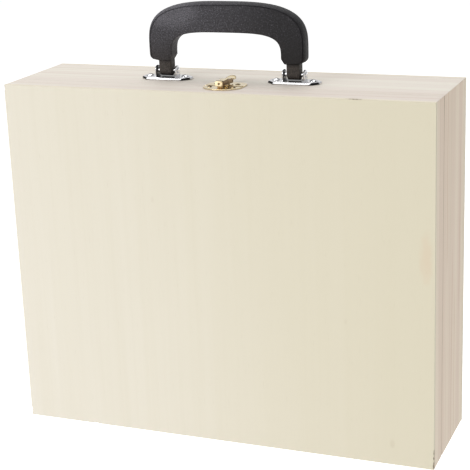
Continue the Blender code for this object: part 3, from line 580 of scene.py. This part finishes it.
GRIP_HALF = 71 * MM
GRIP_LEAN = 1.6 * MM          # the outer curve's middle, left of the pivots' middle
GRIP_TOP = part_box("handle_grip")[1].z
GRIP_DEPTH = (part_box("handle_grip")[1].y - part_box("handle_grip")[0].y) / 2
WAIST = TOP + 29 * MM         # above it the outer curve is a superellipse
SHOULDER = TOP + 16.3 * MM    # the legs' lower ends, where the tongues come out
OUTER_POWER = 3.1
INNER_HALF = 49.4 * MM
INNER_LEAN = 1 * MM
INNER_WAIST = TOP + 20.7 * MM
INNER_TOP = TOP + 41.6 * MM
INNER_POWER = 3.8
RIM_MIDDLE = 2.1 * MM         # width of the rim outside the groove, at the grip's middle
RIM_LESS = 0.9 * MM           # how much narrower it is at the far right, and wider at the left
FACE_EDGE = 0.9 * MM          # the rim's depth below the grip's front
FACE_CROWN = 0.8 * MM
INNER_BEVEL = 1.1 * MM
FOOT_ROUNDING = 1.6 * MM
TONGUE_HALF = 5.7 * MM
TONGUE_RADIUS = 4.5 * MM
TONGUE_EASE = 0.7 * MM
TONGUE_OVERLAP = 4 * MM       # how far the tongue goes up into the leg


def power_curve(angle, half, rise, power):
    """A superellipse's quarter: x = half cos(a)^(2/n), height = rise sin(a)^(2/n)."""
    return half * np.cos(angle).clip(0) ** (2 / power), rise * np.sin(angle).clip(0) ** (2 / power)


def even_angles(power, count):
    """Angles at which a superellipse's points lie about evenly: tan(a) = tan(t)^(n/2) for even t."""
    t = np.linspace(0, math.pi / 2, count)
    return np.concatenate([[0], np.arctan(np.tan(t[1:-1]) ** (power / 2)), [math.pi / 2]])


def grip():
    """The grip: at every station one section spans from the inner curve to the outer one.

    Over their waists both curves are superellipses. Below them the outer one draws in by the ninth
    power of the way down, to the width of the tongue. The section's outer side is nearly flat: it
    draws in by rim * (depth / edge)^3 to a fine groove, and the face inside it is crowned by
    crown * sin(pi s)^0.8. The rim is wider on the left than on the right.
    """
    down = 1 - np.sin(np.linspace(0, math.pi / 2, 13)[:-1])
    foot_x = PIVOT_RIGHT.x - GRIP_MIDDLE.x
    outer_leg = np.stack([GRIP_HALF - (GRIP_HALF - foot_x - TONGUE_HALF) * down ** 9,
                          WAIST - (WAIST - SHOULDER) * down], -1)
    inner_leg = np.stack([INNER_HALF + (foot_x - TONGUE_HALF - INNER_HALF) * down,
                          INNER_WAIST - (INNER_WAIST - SHOULDER) * down], -1)
    outer_x, outer_z = power_curve(even_angles(OUTER_POWER, 45), GRIP_HALF, GRIP_TOP - WAIST,
                                   OUTER_POWER)
    inner_x, inner_z = power_curve(even_angles(INNER_POWER, 45), INNER_HALF,
                                   INNER_TOP - INNER_WAIST, INNER_POWER)
    outer = np.concatenate([outer_leg, np.stack([outer_x, WAIST + outer_z], -1)])
    inner = np.concatenate([inner_leg, np.stack([inner_x, INNER_WAIST + inner_z], -1)])
    outer = np.concatenate([outer, (outer * (-1, 1))[-2::-1]]) - (GRIP_LEAN, 0)
    inner = np.concatenate([inner, (inner * (-1, 1))[-2::-1]]) - (INNER_LEAN, 0)
    width = np.linalg.norm(outer - inner, axis=-1)[:, None]
    # the section, as distances from the outer and the inner curve and as depths
    edge = GRIP_DEPTH - FACE_EDGE
    rim = RIM_MIDDLE - RIM_LESS * outer[:, :1] / GRIP_HALF
    up = np.array([0, 0.2, 0.4, 0.58, 0.74, 0.86, 0.94, 1])
    groove = np.array([0.12, 0.3, 0.5, 0.8]) * MM
    from_outer = np.concatenate([rim * up ** 3, rim + groove], 1)
    depth_outer = np.concatenate([edge * up, edge + np.array([-0.6, -0.75, -0.4, 0.1]) * MM])
    turn = np.radians(np.linspace(90, 0, 5))
    from_inner = INNER_BEVEL * (1 - np.cos(turn))
    depth_inner = edge - INNER_BEVEL * (1 - np.sin(turn))
    share = np.linspace(0, 1, 12)[1:-1]
    start = from_outer[:, -1:]
    face = start + (width - start - from_inner[0]) * share
    across = np.concatenate([from_outer, face, width - from_inner], 1) / width
    depth_face = edge + 0.1 * MM + FACE_CROWN * np.sin(math.pi * share) ** 0.8
    depth = np.concatenate([depth_outer, depth_face, depth_inner])
    across = np.concatenate([across, across[:, :0:-1]], 1)
    depth = np.concatenate([depth, -depth[:0:-1]])
    lift = np.minimum(outer[:, 1] - SHOULDER, FOOT_ROUNDING)
    narrow = 1 - rounded(lift, FOOT_ROUNDING) / GRIP_DEPTH
    plan = outer[:, None, :] + (inner - outer)[:, None, :] * across[..., None]
    points = np.stack([plan[..., 0] + GRIP_MIDDLE.x,
                       GRIP_MIDDLE.y + depth[None, :] * narrow[:, None], plan[..., 1]], -1)
    first, last = points[0].mean(0), points[-1].mean(0)
    caps = [first + (points[0] - first) * part for part in (0, 0.5, 0.85)]
    ends = [last + (points[-1] - last) * part for part in (0.85, 0.5, 0)]
    return tube(np.concatenate([caps, points, ends]))


def tongue(pivot):
    """The moulded tongue under each leg: a bar with a round lower end, eased along its edges."""
    top = SHOULDER + TONGUE_OVERLAP - pivot.z
    turn = np.radians(np.linspace(180, 360, 17))
    ring = np.concatenate([np.stack([np.cos(turn), np.sin(turn)], -1) * TONGUE_RADIUS,
                           [(TONGUE_RADIUS, top * share) for share in (0.4, 0.8, 1.0)],
                           [(-TONGUE_RADIUS, top * share) for share in (1.0, 0.8, 0.4)]])
    centre = np.array([0, top / 3])
    side = np.radians(np.linspace(0, 90, 4))
    start = -TONGUE_HALF + TONGUE_EASE * (1 - np.cos(side))
    along = np.concatenate([[-TONGUE_HALF] * 2, start, -start[::-1], [TONGUE_HALF] * 2])
    shrunk = 1 - TONGUE_EASE * (1 - np.sin(side)) / TONGUE_RADIUS
    scale = np.concatenate([[0, 0.6], shrunk, shrunk[::-1], [0.6, 0]])
    plan = centre + (ring - centre) * scale[:, None, None]
    points = np.stack([np.broadcast_to(pivot.x + along[:, None], plan.shape[:2]),
                       pivot.y + plan[..., 0], pivot.z + plan[..., 1]], -1)
    return tube(points)


make("moulded_grip", [grip(), tongue(PIVOT_LEFT), tongue(PIVOT_RIGHT)], plastic, "handle",
     ["handle_grip"], 50)


# ---------------------------------------------------------------- screws and rivets

SLOT_WIDTH = 0.4              # a slot's width as a share of the head's radius
SLOT_DEPTH = 0.6              # and its depth as a share of the crown
HEAD_WALL = 0.22              # the share of the crown that is an upright wall under the dome


def slotted_head(centre, radius, crown, turn, painted_band):
    """A screw's head: a low wall and a dome 1 - (r/R)^2 on it, with a straight slot cut across.

    The grid's rows are chords, so that the slot's walls follow them. A painted dark band, shade in the
    slot and a dark reflection beyond it, fills the head to the given share of R on both sides of its
    middle.
    """
    half_slot = SLOT_WIDTH * radius / 2
    walls = np.array([0.98, 1.02]) * half_slot
    rows = np.unique(np.concatenate([-np.sin(np.linspace(math.pi / 2, 0.2, 12)) * radius, -walls, [0.0],
                                     walls, np.sin(np.linspace(0.2, math.pi / 2, 12)) * radius]))
    chord = np.sqrt((radius ** 2 - rows ** 2).clip(0))
    across = chord[:, None] * np.sin(np.linspace(-math.pi / 2, math.pi / 2, 33))[None, :]
    along = np.broadcast_to(rows[:, None], across.shape)
    reach = (across ** 2 + along ** 2) / radius ** 2
    height = HEAD_WALL * crown + (1 - HEAD_WALL) * crown * (1 - reach).clip(0)
    height = np.where(np.abs(along) < half_slot, height - SLOT_DEPTH * crown * (reach < 0.97), height)
    cos, sin = math.cos(turn), math.sin(turn)
    plan = np.stack([centre[0] + across * cos - along * sin,
                     centre[1] + across * sin + along * cos], -1)
    upper = np.concatenate([plan, (centre[2] + height)[..., None]], -1)
    lower = np.concatenate([plan, np.full(height.shape, centre[2])[..., None]], -1)
    # painted shade in the slot, widening to a painted dark reflection across the head
    painted_dark = np.where((np.abs(along) < painted_band * radius) & (reach < 0.9), 0.95, 0.0)
    return dimmed(slab(lower, upper), np.stack([np.zeros(painted_dark.shape), painted_dark]))


def screw_of(node, seat, radius, crown, turn, finish, body, painted_band=0.2):
    """A slotted screw in place of its CAD node, with a plain shank under its head."""
    low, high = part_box(node)
    centre = ((low.x + high.x) / 2, (low.y + high.y) / 2, seat)
    length, thin = low.z - seat, 0.45 * radius
    shank = [(0, 0.3 * MM), (thin, 0.3 * MM), (thin, 0.75 * length), (0, length)]
    make(f"{node}_head", [slotted_head(centre, radius, crown, math.radians(turn), painted_band),
                          lathe(shank, centre)], finish, body, [node])


# ---------------------------------------------------------------- brackets

PLATE_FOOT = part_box("handle_bracket_left")[0].z
PLATE_TOP = PLATE_FOOT + 2 * MM
PLATE_END = 22.8 * MM         # half the plate's length
PLATE_EDGE = 9 * MM           # half its width
PLATE_CORNER = 6 * MM         # cut off each corner
PLATE_BEVEL = 1.8 * MM
WELL_HALF = 8.6 * MM          # the dark well between the ears, and its front and back
WELL_SPAN = (-7.2 * MM, 8.6 * MM)
EAR_OUTSIDE = 10 * MM         # outer face of each ear, from the bracket's middle
EAR_THICKNESS = 1.5 * MM
EAR_RADIUS = 4.2 * MM
EAR_EASE = 0.3 * MM
RIVET_SEAT = 10.1 * MM
RIVET_RADIUS = 2.7 * MM
RIVET_HEAD = 0.9 * MM
RIVET_SHANK = 1.8 * MM


def bracket_plate(pivot):
    """A pressed plate with cut corners: its top falls by the rounding of the distance to the outline.

    The plan grid follows the outline, y = half width - (|x| - flat part) at the cut corners. The
    corners' facets carry a painted dark reflection, and the well between the ears painted shade.
    """
    end, edge, corner = PLATE_END, PLATE_EDGE, PLATE_CORNER
    steps = np.concatenate([np.linspace(-end, -end + 1.6 * MM, 9),
                            np.linspace(-end + 2.2 * MM, -end + corner, 7),
                            np.linspace(-end + corner + 1 * MM, end - corner - 1 * MM, 12),
                            np.linspace(end - corner, end - 2.2 * MM, 7),
                            np.linspace(end - 1.6 * MM, end, 9)])
    reach = np.minimum(edge, edge - corner + (end - np.abs(steps)))
    share = np.sin(np.linspace(-math.pi / 2, math.pi / 2, 41))
    x = np.broadcast_to(steps[:, None], (len(steps), 41))
    y = reach[:, None] * share[None, :]
    cut = (end - np.abs(x) + edge - np.abs(y) - corner) / math.sqrt(2)
    distance = np.minimum(np.minimum(end - np.abs(x), edge - np.abs(y)), cut)
    plan = (x + pivot.x, y + pivot.y)
    upper = np.stack([*plan, PLATE_TOP - rounded(distance.clip(0), PLATE_BEVEL)], -1)
    lower = np.stack([*plan, np.full(x.shape, PLATE_FOOT)], -1)
    # painted shade in the well under the tongue, and painted dark reflections on the cut corners'
    # facets
    well = (np.abs(x) < WELL_HALF) & (y > WELL_SPAN[0]) & (y < WELL_SPAN[1])
    facet = np.where((cut < 0.75 * MM) & (np.abs(y) > 3.4 * MM), 0.95, 0.0)
    return dimmed(slab(lower, upper), np.stack([facet, np.maximum(well, facet)]))


def bracket_ear(pivot, way):
    """One ear across X, half round at the top, with eased rims. Its inner face carries painted shade.
    """
    radius, ease = EAR_RADIUS, EAR_EASE
    foot = PLATE_TOP - 0.6 * MM - pivot.z
    turn = np.radians(np.linspace(0, 180, 25))
    ring = np.concatenate([np.stack([radius * np.cos(turn), radius * np.sin(turn)], -1),
                           [(-radius, foot * 0.5), (-radius, foot), (radius, foot),
                            (radius, foot * 0.5)]])
    outside, inside = way * EAR_OUTSIDE, way * (EAR_OUTSIDE - EAR_THICKNESS)
    middle = np.array([0, 0.5 * foot + 0.5 * radius])
    across = np.array([inside, inside, inside, inside + way * ease * 0.4, inside + way * ease,
                       outside - way * ease, outside - way * ease * 0.4, outside, outside, outside])
    half_scale = np.array([0, 0.6, 1 - ease / radius, 1 - 0.3 * ease / radius, 1])
    scale = np.concatenate([half_scale, half_scale[::-1]])
    plan = middle + (ring - middle) * scale[:, None, None]
    points = np.stack([np.broadcast_to(pivot.x + across[:, None], plan.shape[:2]),
                       pivot.y + plan[..., 0], pivot.z + plan[..., 1]], -1)
    # painted shade on the inner face, between the ears
    face = np.broadcast_to(way * across[:, None] < 9 * MM, plan.shape[:2])
    return dimmed(tube(points), np.where(face, 0.9, 0.0))


def bracket(pivot, label):
    """A bracket: its plate and two ears, the rivet through them and two slotted screws."""
    shells = [bracket_plate(pivot), bracket_ear(pivot, -1), bracket_ear(pivot, 1)]
    make(f"bracket_{label}", shells, nickel, "case", [f"handle_bracket_{label}"], 40)
    profile = [(0.0, RIVET_SEAT + RIVET_HEAD)]
    profile += [(RIVET_RADIUS * math.cos(a),
                 RIVET_SEAT + 0.15 * RIVET_HEAD + 0.85 * RIVET_HEAD * math.sin(a))
                for a in np.radians(np.linspace(90, 0, 7))[1:]]
    profile += [(RIVET_RADIUS, RIVET_SEAT), (RIVET_SHANK, RIVET_SEAT), (RIVET_SHANK, 0.0)]
    profile += [(r, -h) for r, h in profile[-2::-1]]
    make(f"rivet_{label}", [lathe(profile, pivot, (1, 0, 0))], nickel, "case",
         [f"handle_pin_{label}"])
    for number, angle in enumerate((8, 38), 1):
        screw_of(f"handle_screw_{label}_{number}", PLATE_TOP, 3.3 * MM, 1.5 * MM, angle, nickel,
                 "case")


bracket(PIVOT_LEFT, "left")
bracket(PIVOT_RIGHT, "right")


# ---------------------------------------------------------------- latch

SHEET = 0.7 * MM
LATCH_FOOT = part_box("latch_catch")[0].z
LATCH_FACE = LATCH_FOOT + SHEET
LATCH_PLATE_HALF = 17.3 * MM
LATCH_EDGE = 1.2 * MM         # each plate's straight edge from the seam
CATCH_REACH = 16.4 * MM
BASE_REACH = 17 * MM
BASE_POWER = 3.6              # the base plate's outline is squarer than the catch's half oval
LATCH_EAR_X = 2.25 * MM
LATCH_EAR_RADIUS = 1.7 * MM
HOOK_HALF = 2.3 * MM
HOOK_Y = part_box("latch_strap")[0].y + 2.4 * MM
BARREL_RADIUS = 1.4 * MM
BARREL_HALF = 1.6 * MM
STRIP_HALF = 1.5 * MM         # the lever's narrow part
PADDLE_HALF = 4.3 * MM        # and its round end
LEVER_OVER = 1.15 * MM        # the lever's strip over its pivot
STRAP_EYE = 1.7 * MM
NECK_CLEARANCE = 1.3 * MM     # the paddle starts so far behind the strap's eyes, which swing past it
STRAP_HALF = 3.6 * MM - SHEET / 2
STRAP_BEND = 0.9 * MM
STRAP_HOLE = 0.9 * MM


def seam_plate(way, reach, power=2.0):
    """A plate on the seam: chords from its straight edge to reach (1 - |x/w|^n)^(1/n)."""
    depth = reach - LATCH_EDGE
    x, share = chords(LATCH_PLATE_HALF, 61, 33, power)
    y = share * depth
    inside = depth * (1 - (np.abs(x) / LATCH_PLATE_HALF) ** power).clip(0) ** (1 / power) - y
    rim = np.minimum(np.minimum(inside, y), (LATCH_PLATE_HALF - np.abs(x)) * 1.5).clip(0)
    height = LATCH_FACE - rounded(rim, 0.3 * MM)
    world = (x + LATCH_X, SEAM_Y + way * (LATCH_EDGE + y))
    return slab(np.stack([*world, np.full(x.shape, LATCH_FOOT)], -1), np.stack([*world, height], -1))


def ear(x, radius, centre):
    """An upright ear of sheet metal, half round over its foot, across X."""
    turn = np.radians(np.linspace(0, 180, 15))
    foot = LATCH_FACE - 0.35 * MM - centre.z
    rim = np.stack([radius * np.cos(turn), radius * np.sin(turn)], -1)
    floor = np.stack([radius * np.cos(turn), np.full(15, foot)], -1)
    share = np.linspace(0, 1, 5)[:, None, None]
    plan = floor + (rim - floor) * share
    middle = np.stack([np.full(plan.shape[:2], x), centre.y + plan[..., 0],
                       centre.z + plan[..., 1]], -1)
    return sheet(middle, SHEET, (1, 0, 0))


# the hook: a strip bent forward, as depths and heights over the case's top
hook_path = np.array([(0.35, 0.5), (0.35, 1.3), (0.25, 1.7), (-0.1, 1.85), (-1.4, 1.85)]) * MM
hook_x = np.linspace(-HOOK_HALF, HOOK_HALF, len(hook_path))
hook = np.stack(np.broadcast_arrays(LATCH_X + hook_x[None, :], HOOK_Y + hook_path[:, :1],
                                    TOP + hook_path[:, 1:]), -1)
# the hook under the strap carries painted shade
make("catch_plate", [seam_plate(-1, CATCH_REACH), dimmed(sheet(hook, SHEET), 0.85)], brass, "lid",
     ["latch_catch"])
# the lever's ears carry painted shade, a little more on the right one
make("base_plate", [seam_plate(1, BASE_REACH, BASE_POWER),
                    dimmed(ear(LATCH_X - LATCH_EAR_X, LATCH_EAR_RADIUS, LEVER_PIVOT), 0.5),
                    dimmed(ear(LATCH_X + LATCH_EAR_X, LATCH_EAR_RADIUS, LEVER_PIVOT), 0.6)],
     brass, "case", ["latch_base"])
for node, body, angles in (("latch_catch", "lid", (4, -6)), ("latch_base", "case", (12, -4))):
    for number, angle in enumerate(angles, 1):
        screw_of(f"{node}_screw_{number}", LATCH_FACE, 2.2 * MM, 0.75 * MM, angle, brass, body,
                 0.7)


def lever():
    """The lever: a strip of sheet over the barrels that widens into a domed, upturned paddle."""
    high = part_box("latch_lever")[1]
    tip = high.y - LEVER_PIVOT.y
    y = -1.3 * MM + (tip + 1.3 * MM) * np.linspace(0, 1, 33)
    neck = STRAP_PIVOT.y - LEVER_PIVOT.y + STRAP_EYE + NECK_CLEARANCE
    spread = ((y - neck) / (0.5 * MM)).clip(0, 1)
    half = STRIP_HALF + (PADDLE_HALF - STRIP_HALF) * spread
    rest = (tip - y).clip(0)
    circle = np.sqrt((PADDLE_HALF ** 2 - (PADDLE_HALF - rest) ** 2).clip(0))
    half = np.where(rest < PADDLE_HALF, circle, half)
    x = half[:, None] * np.sin(np.linspace(-math.pi / 2, math.pi / 2, 17))[None, :]
    fall = (STRAP_PIVOT.z - LEVER_PIVOT.z) * (y / (5 * MM)).clip(0, 1)
    rise = high.z - STRAP_PIVOT.z - LEVER_OVER - SHEET / 2
    rise = rise * ((y - neck) / (tip - neck)).clip(0, 1) ** 2.2
    spread, y = spread[:, None], y[:, None]
    dome = 0.35 * MM * spread * (1 - (x / PADDLE_HALF) ** 2) - 0.3 * MM * spread
    z = LEVER_PIVOT.z + LEVER_OVER + (fall + rise)[:, None] + dome
    points = (LATCH_X + x, LEVER_PIVOT.y + y, z.clip(None, high.z - SHEET / 2))
    middle = np.stack(np.broadcast_arrays(*points), -1)
    from_rim = PADDLE_HALF - np.hypot(x, tip - PADDLE_HALF - y)
    rim = np.exp(-(from_rim / (0.7 * MM)) ** 2) * (y > tip - 1.2 * PADDLE_HALF)
    # painted shade on the narrow strip and along the paddle's rim
    painted_dark = np.maximum(0.3 * (1 - spread), 0.6 * rim)
    return dimmed(sheet(middle[:, ::-1], SHEET, (0, 0, 1)), np.stack([painted_dark[:, ::-1]] * 2))


def barrel(centre):
    """A rolled barrel round a pin, across X."""
    radius, half, ease = BARREL_RADIUS, BARREL_HALF, 0.2 * MM
    profile = [(0, half), (radius - ease, half), (radius, half - ease), (radius, ease - half),
               (radius - ease, -half), (0, -half)]
    return lathe(profile, (LATCH_X, centre.y, centre.z), (1, 0, 0), 32)


make("toggle_lever", [lever(), barrel(LEVER_PIVOT), barrel(STRAP_PIVOT)], brass, "latch_lever",
     ["latch_lever"])


def strap():
    """The strap, one folded sheet: a channel over the hook, two arms to the pin and a front wall.

    The channel's section is a flat top with two quarter bends into the sides. The front wall is a
    grid of rings that go from its round hole to its border.
    """
    low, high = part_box("latch_strap")
    half, bend = STRAP_HALF, STRAP_BEND
    top = high.z - SHEET / 2
    wall_foot = TOP + 2.6 * MM
    front, back = low.y + SHEET / 2, SEAM_Y + 1 * MM
    turn = np.radians(np.linspace(0, 90, 6))
    right = np.concatenate([[(half, wall_foot), (half, (wall_foot + top - bend) / 2)],
                            np.stack([half - bend * (1 - np.cos(turn)),
                                      top - bend * (1 - np.sin(turn))], -1)])
    section = np.concatenate([right, (right * (-1, 1))[::-1]])
    y = np.linspace(front, back, 15)[:, None]
    drop = rounded(y - front, bend) * 0.6
    points = (LATCH_X + section[None, :, 0], y, np.minimum(section[None, :, 1], top - drop))
    middle = np.stack(np.broadcast_arrays(*points), -1)
    # painted shade on the channel's right side and in a band along its front bend
    painted_dark = (np.where(section[None, :, 0] > half - 0.2 * MM, 0.85, 0.0)
           + np.where(np.abs(y - front - 1.2 * MM) < 0.9 * MM, 0.6, 0.0)).clip(0, 1)
    shells = [dimmed(sheet(middle[:, ::-1], SHEET), np.stack([painted_dark[:, ::-1]] * 2))]
    # the arms: from the channel's back down to an eye round the strap's pin
    turn = np.radians(np.linspace(-100, 70, 11))
    rim = np.stack([STRAP_PIVOT.y + STRAP_EYE * np.cos(turn),
                    STRAP_PIVOT.z + STRAP_EYE * np.sin(turn)], -1)
    start = np.stack([np.full(11, back - 1 * MM), np.linspace(wall_foot, top + 0.1 * MM, 11)], -1)
    share = np.linspace(0, 1, 12)[:, None, None]
    plan = start + (rim - start) * share
    for way in (-1, 1):
        x = np.full(plan.shape[:2], LATCH_X + way * half)
        arm = np.stack([x, plan[..., 0], plan[..., 1]], -1)
        # painted shade on both arms
        shells.append(dimmed(sheet(arm, SHEET, (1, 0, 0)), 0.8))
    # the front wall
    centre = (wall_foot + high.z) / 2
    turn = np.linspace(0, 2 * math.pi, 41)
    direction = np.stack([np.cos(turn), np.sin(turn)], -1)
    border = np.array([half, (top - wall_foot) / 2 + 0.1 * MM])
    reach = 1 / (np.abs(direction / border) ** 8).sum(-1, keepdims=True) ** (1 / 8)
    share = np.linspace(0, 1, 6)[:, None, None]
    plan = direction * STRAP_HOLE + direction * (reach - STRAP_HOLE) * share
    wall = np.stack([LATCH_X + plan[..., 0], np.full(plan.shape[:2], front),
                     centre + plan[..., 1] - 0.1 * MM], -1)
    # painted shade round the hole and growing across the wall's right part
    painted_dark = np.maximum((share[..., 0] < 0.1) * 0.9, (plan[..., 0] / half).clip(0.35, 1) * 0.9 - 0.3)
    shells.append(dimmed(sheet(wall, SHEET, (0, 1, 0)), np.stack([painted_dark] * 2)))
    return shells


make("toggle_strap", strap(), brass, "latch_strap", ["latch_strap"])


# ---------------------------------------------------------------- stage, lights and camera

FLOOR_LEVEL = -0.085          # below the reach of the open lid, which hangs lower than the case
FLOOR_REACH = 14.0
MIDDLE = (0, 0, 0.17)         # the point that the lamps face
# dark and bright parts of the surroundings: direction, inner and outer angle, and the light left
SKY_SHADES = (((0.93, -0.3, 0.2), 15, 27, 0.02), ((-0.93, 0.3, 0.2), 12, 22, 0.1),
              ((0.1, 0.25, 0.96), 12, 18, 0.1), ((-0.37, 0.9, 0.24), 16, 36, 1.45))
EYE = Vector((0.434, -1.0678, 0.5275))
LOOK_AT = Vector((-0.00144, 0, 0.17336))
ROLL = -2.186
FOCAL_LENGTH = 105.41


def floor():
    """A wide pale floor with a little glow of its own, so that it reads as a clean sweep."""
    f = Finish("pale_floor", 0.9)
    for socket, value in (("Base Color", (0.9, 0.9, 0.9, 1)), ("Emission Color", (1, 1, 1, 1)),
                          ("Emission Strength", 0.5), ("Specular IOR Level", 0.0)):
        f.shader.inputs[socket].default_value = value
    mesh = bpy.data.meshes.new("floor")
    corners = [(x * FLOOR_REACH, y * FLOOR_REACH, FLOOR_LEVEL)
               for x, y in ((-1, -1), (1, -1), (1, 1), (-1, 1))]
    mesh.from_pydata(corners, [], [(0, 1, 2, 3)])
    mesh.materials.append(f.material)
    obj = bpy.data.objects.new("floor", mesh)
    bpy.context.scene.collection.objects.link(obj)


def lamp(name, place, size, power):
    """A soft square lamp that faces the middle of the case."""
    data = bpy.data.lights.new(name, "AREA")
    data.shape = "SQUARE"
    data.size = size
    data.energy = power
    obj = bpy.data.objects.new(name, data)
    bpy.context.scene.collection.objects.link(obj)
    obj.location = place
    obj.rotation_euler = (Vector(MIDDLE) - Vector(place)).to_track_quat("-Z", "Y").to_euler()


def sky():
    """Studio surroundings: brighter higher up and low at the back, dark at both sides and overhead.

    The dark parts hardly change the soft light, but they give the bright metal its black reflections.
    """
    world = bpy.data.worlds.new("studio")
    bpy.context.scene.world = world
    world.use_nodes = True
    made = Nodes(world.node_tree)
    place = made.node("ShaderNodeTexCoord", out="Generated")
    up = made.node("ShaderNodeSeparateXYZ", (), {0: place}, "Z")
    level = made.step(up, 0.05, 0.5, 0.78, 0.95)
    for direction, inner, outer, kept in SKY_SHADES:
        towards = made.node("ShaderNodeVectorMath", {"operation": "DOT_PRODUCT"},
                            {0: place, 1: direction}, "Value")
        level = level * made.step(towards, math.cos(math.radians(outer)),
                                  math.cos(math.radians(inner)), 1.0, kept)
    background = made.tree.nodes["Background"]
    made.tree.links.new(level.socket, background.inputs["Color"])
    background.inputs["Strength"].default_value = 0.6


floor()
sky()
lamp("key", (-1.5, -2.2, 1.5), 1.6, 22)
lamp("top", (-0.3, 0.3, 2.4), 1.5, 22.5)

camera_data = bpy.data.cameras.new("camera")
camera_data.lens = FOCAL_LENGTH
camera_data.sensor_width = 36
camera = bpy.data.objects.new("camera", camera_data)
bpy.context.scene.collection.objects.link(camera)
aim = (LOOK_AT - EYE).to_track_quat("-Z", "Y").to_matrix().to_4x4()
camera.matrix_world = Matrix.Translation(EYE) @ aim @ Matrix.Rotation(math.radians(ROLL), 4, "Z")
bpy.context.scene.camera = camera

bpy.context.scene.view_settings.view_transform = "Standard"

bpy.context.view_layer.update()
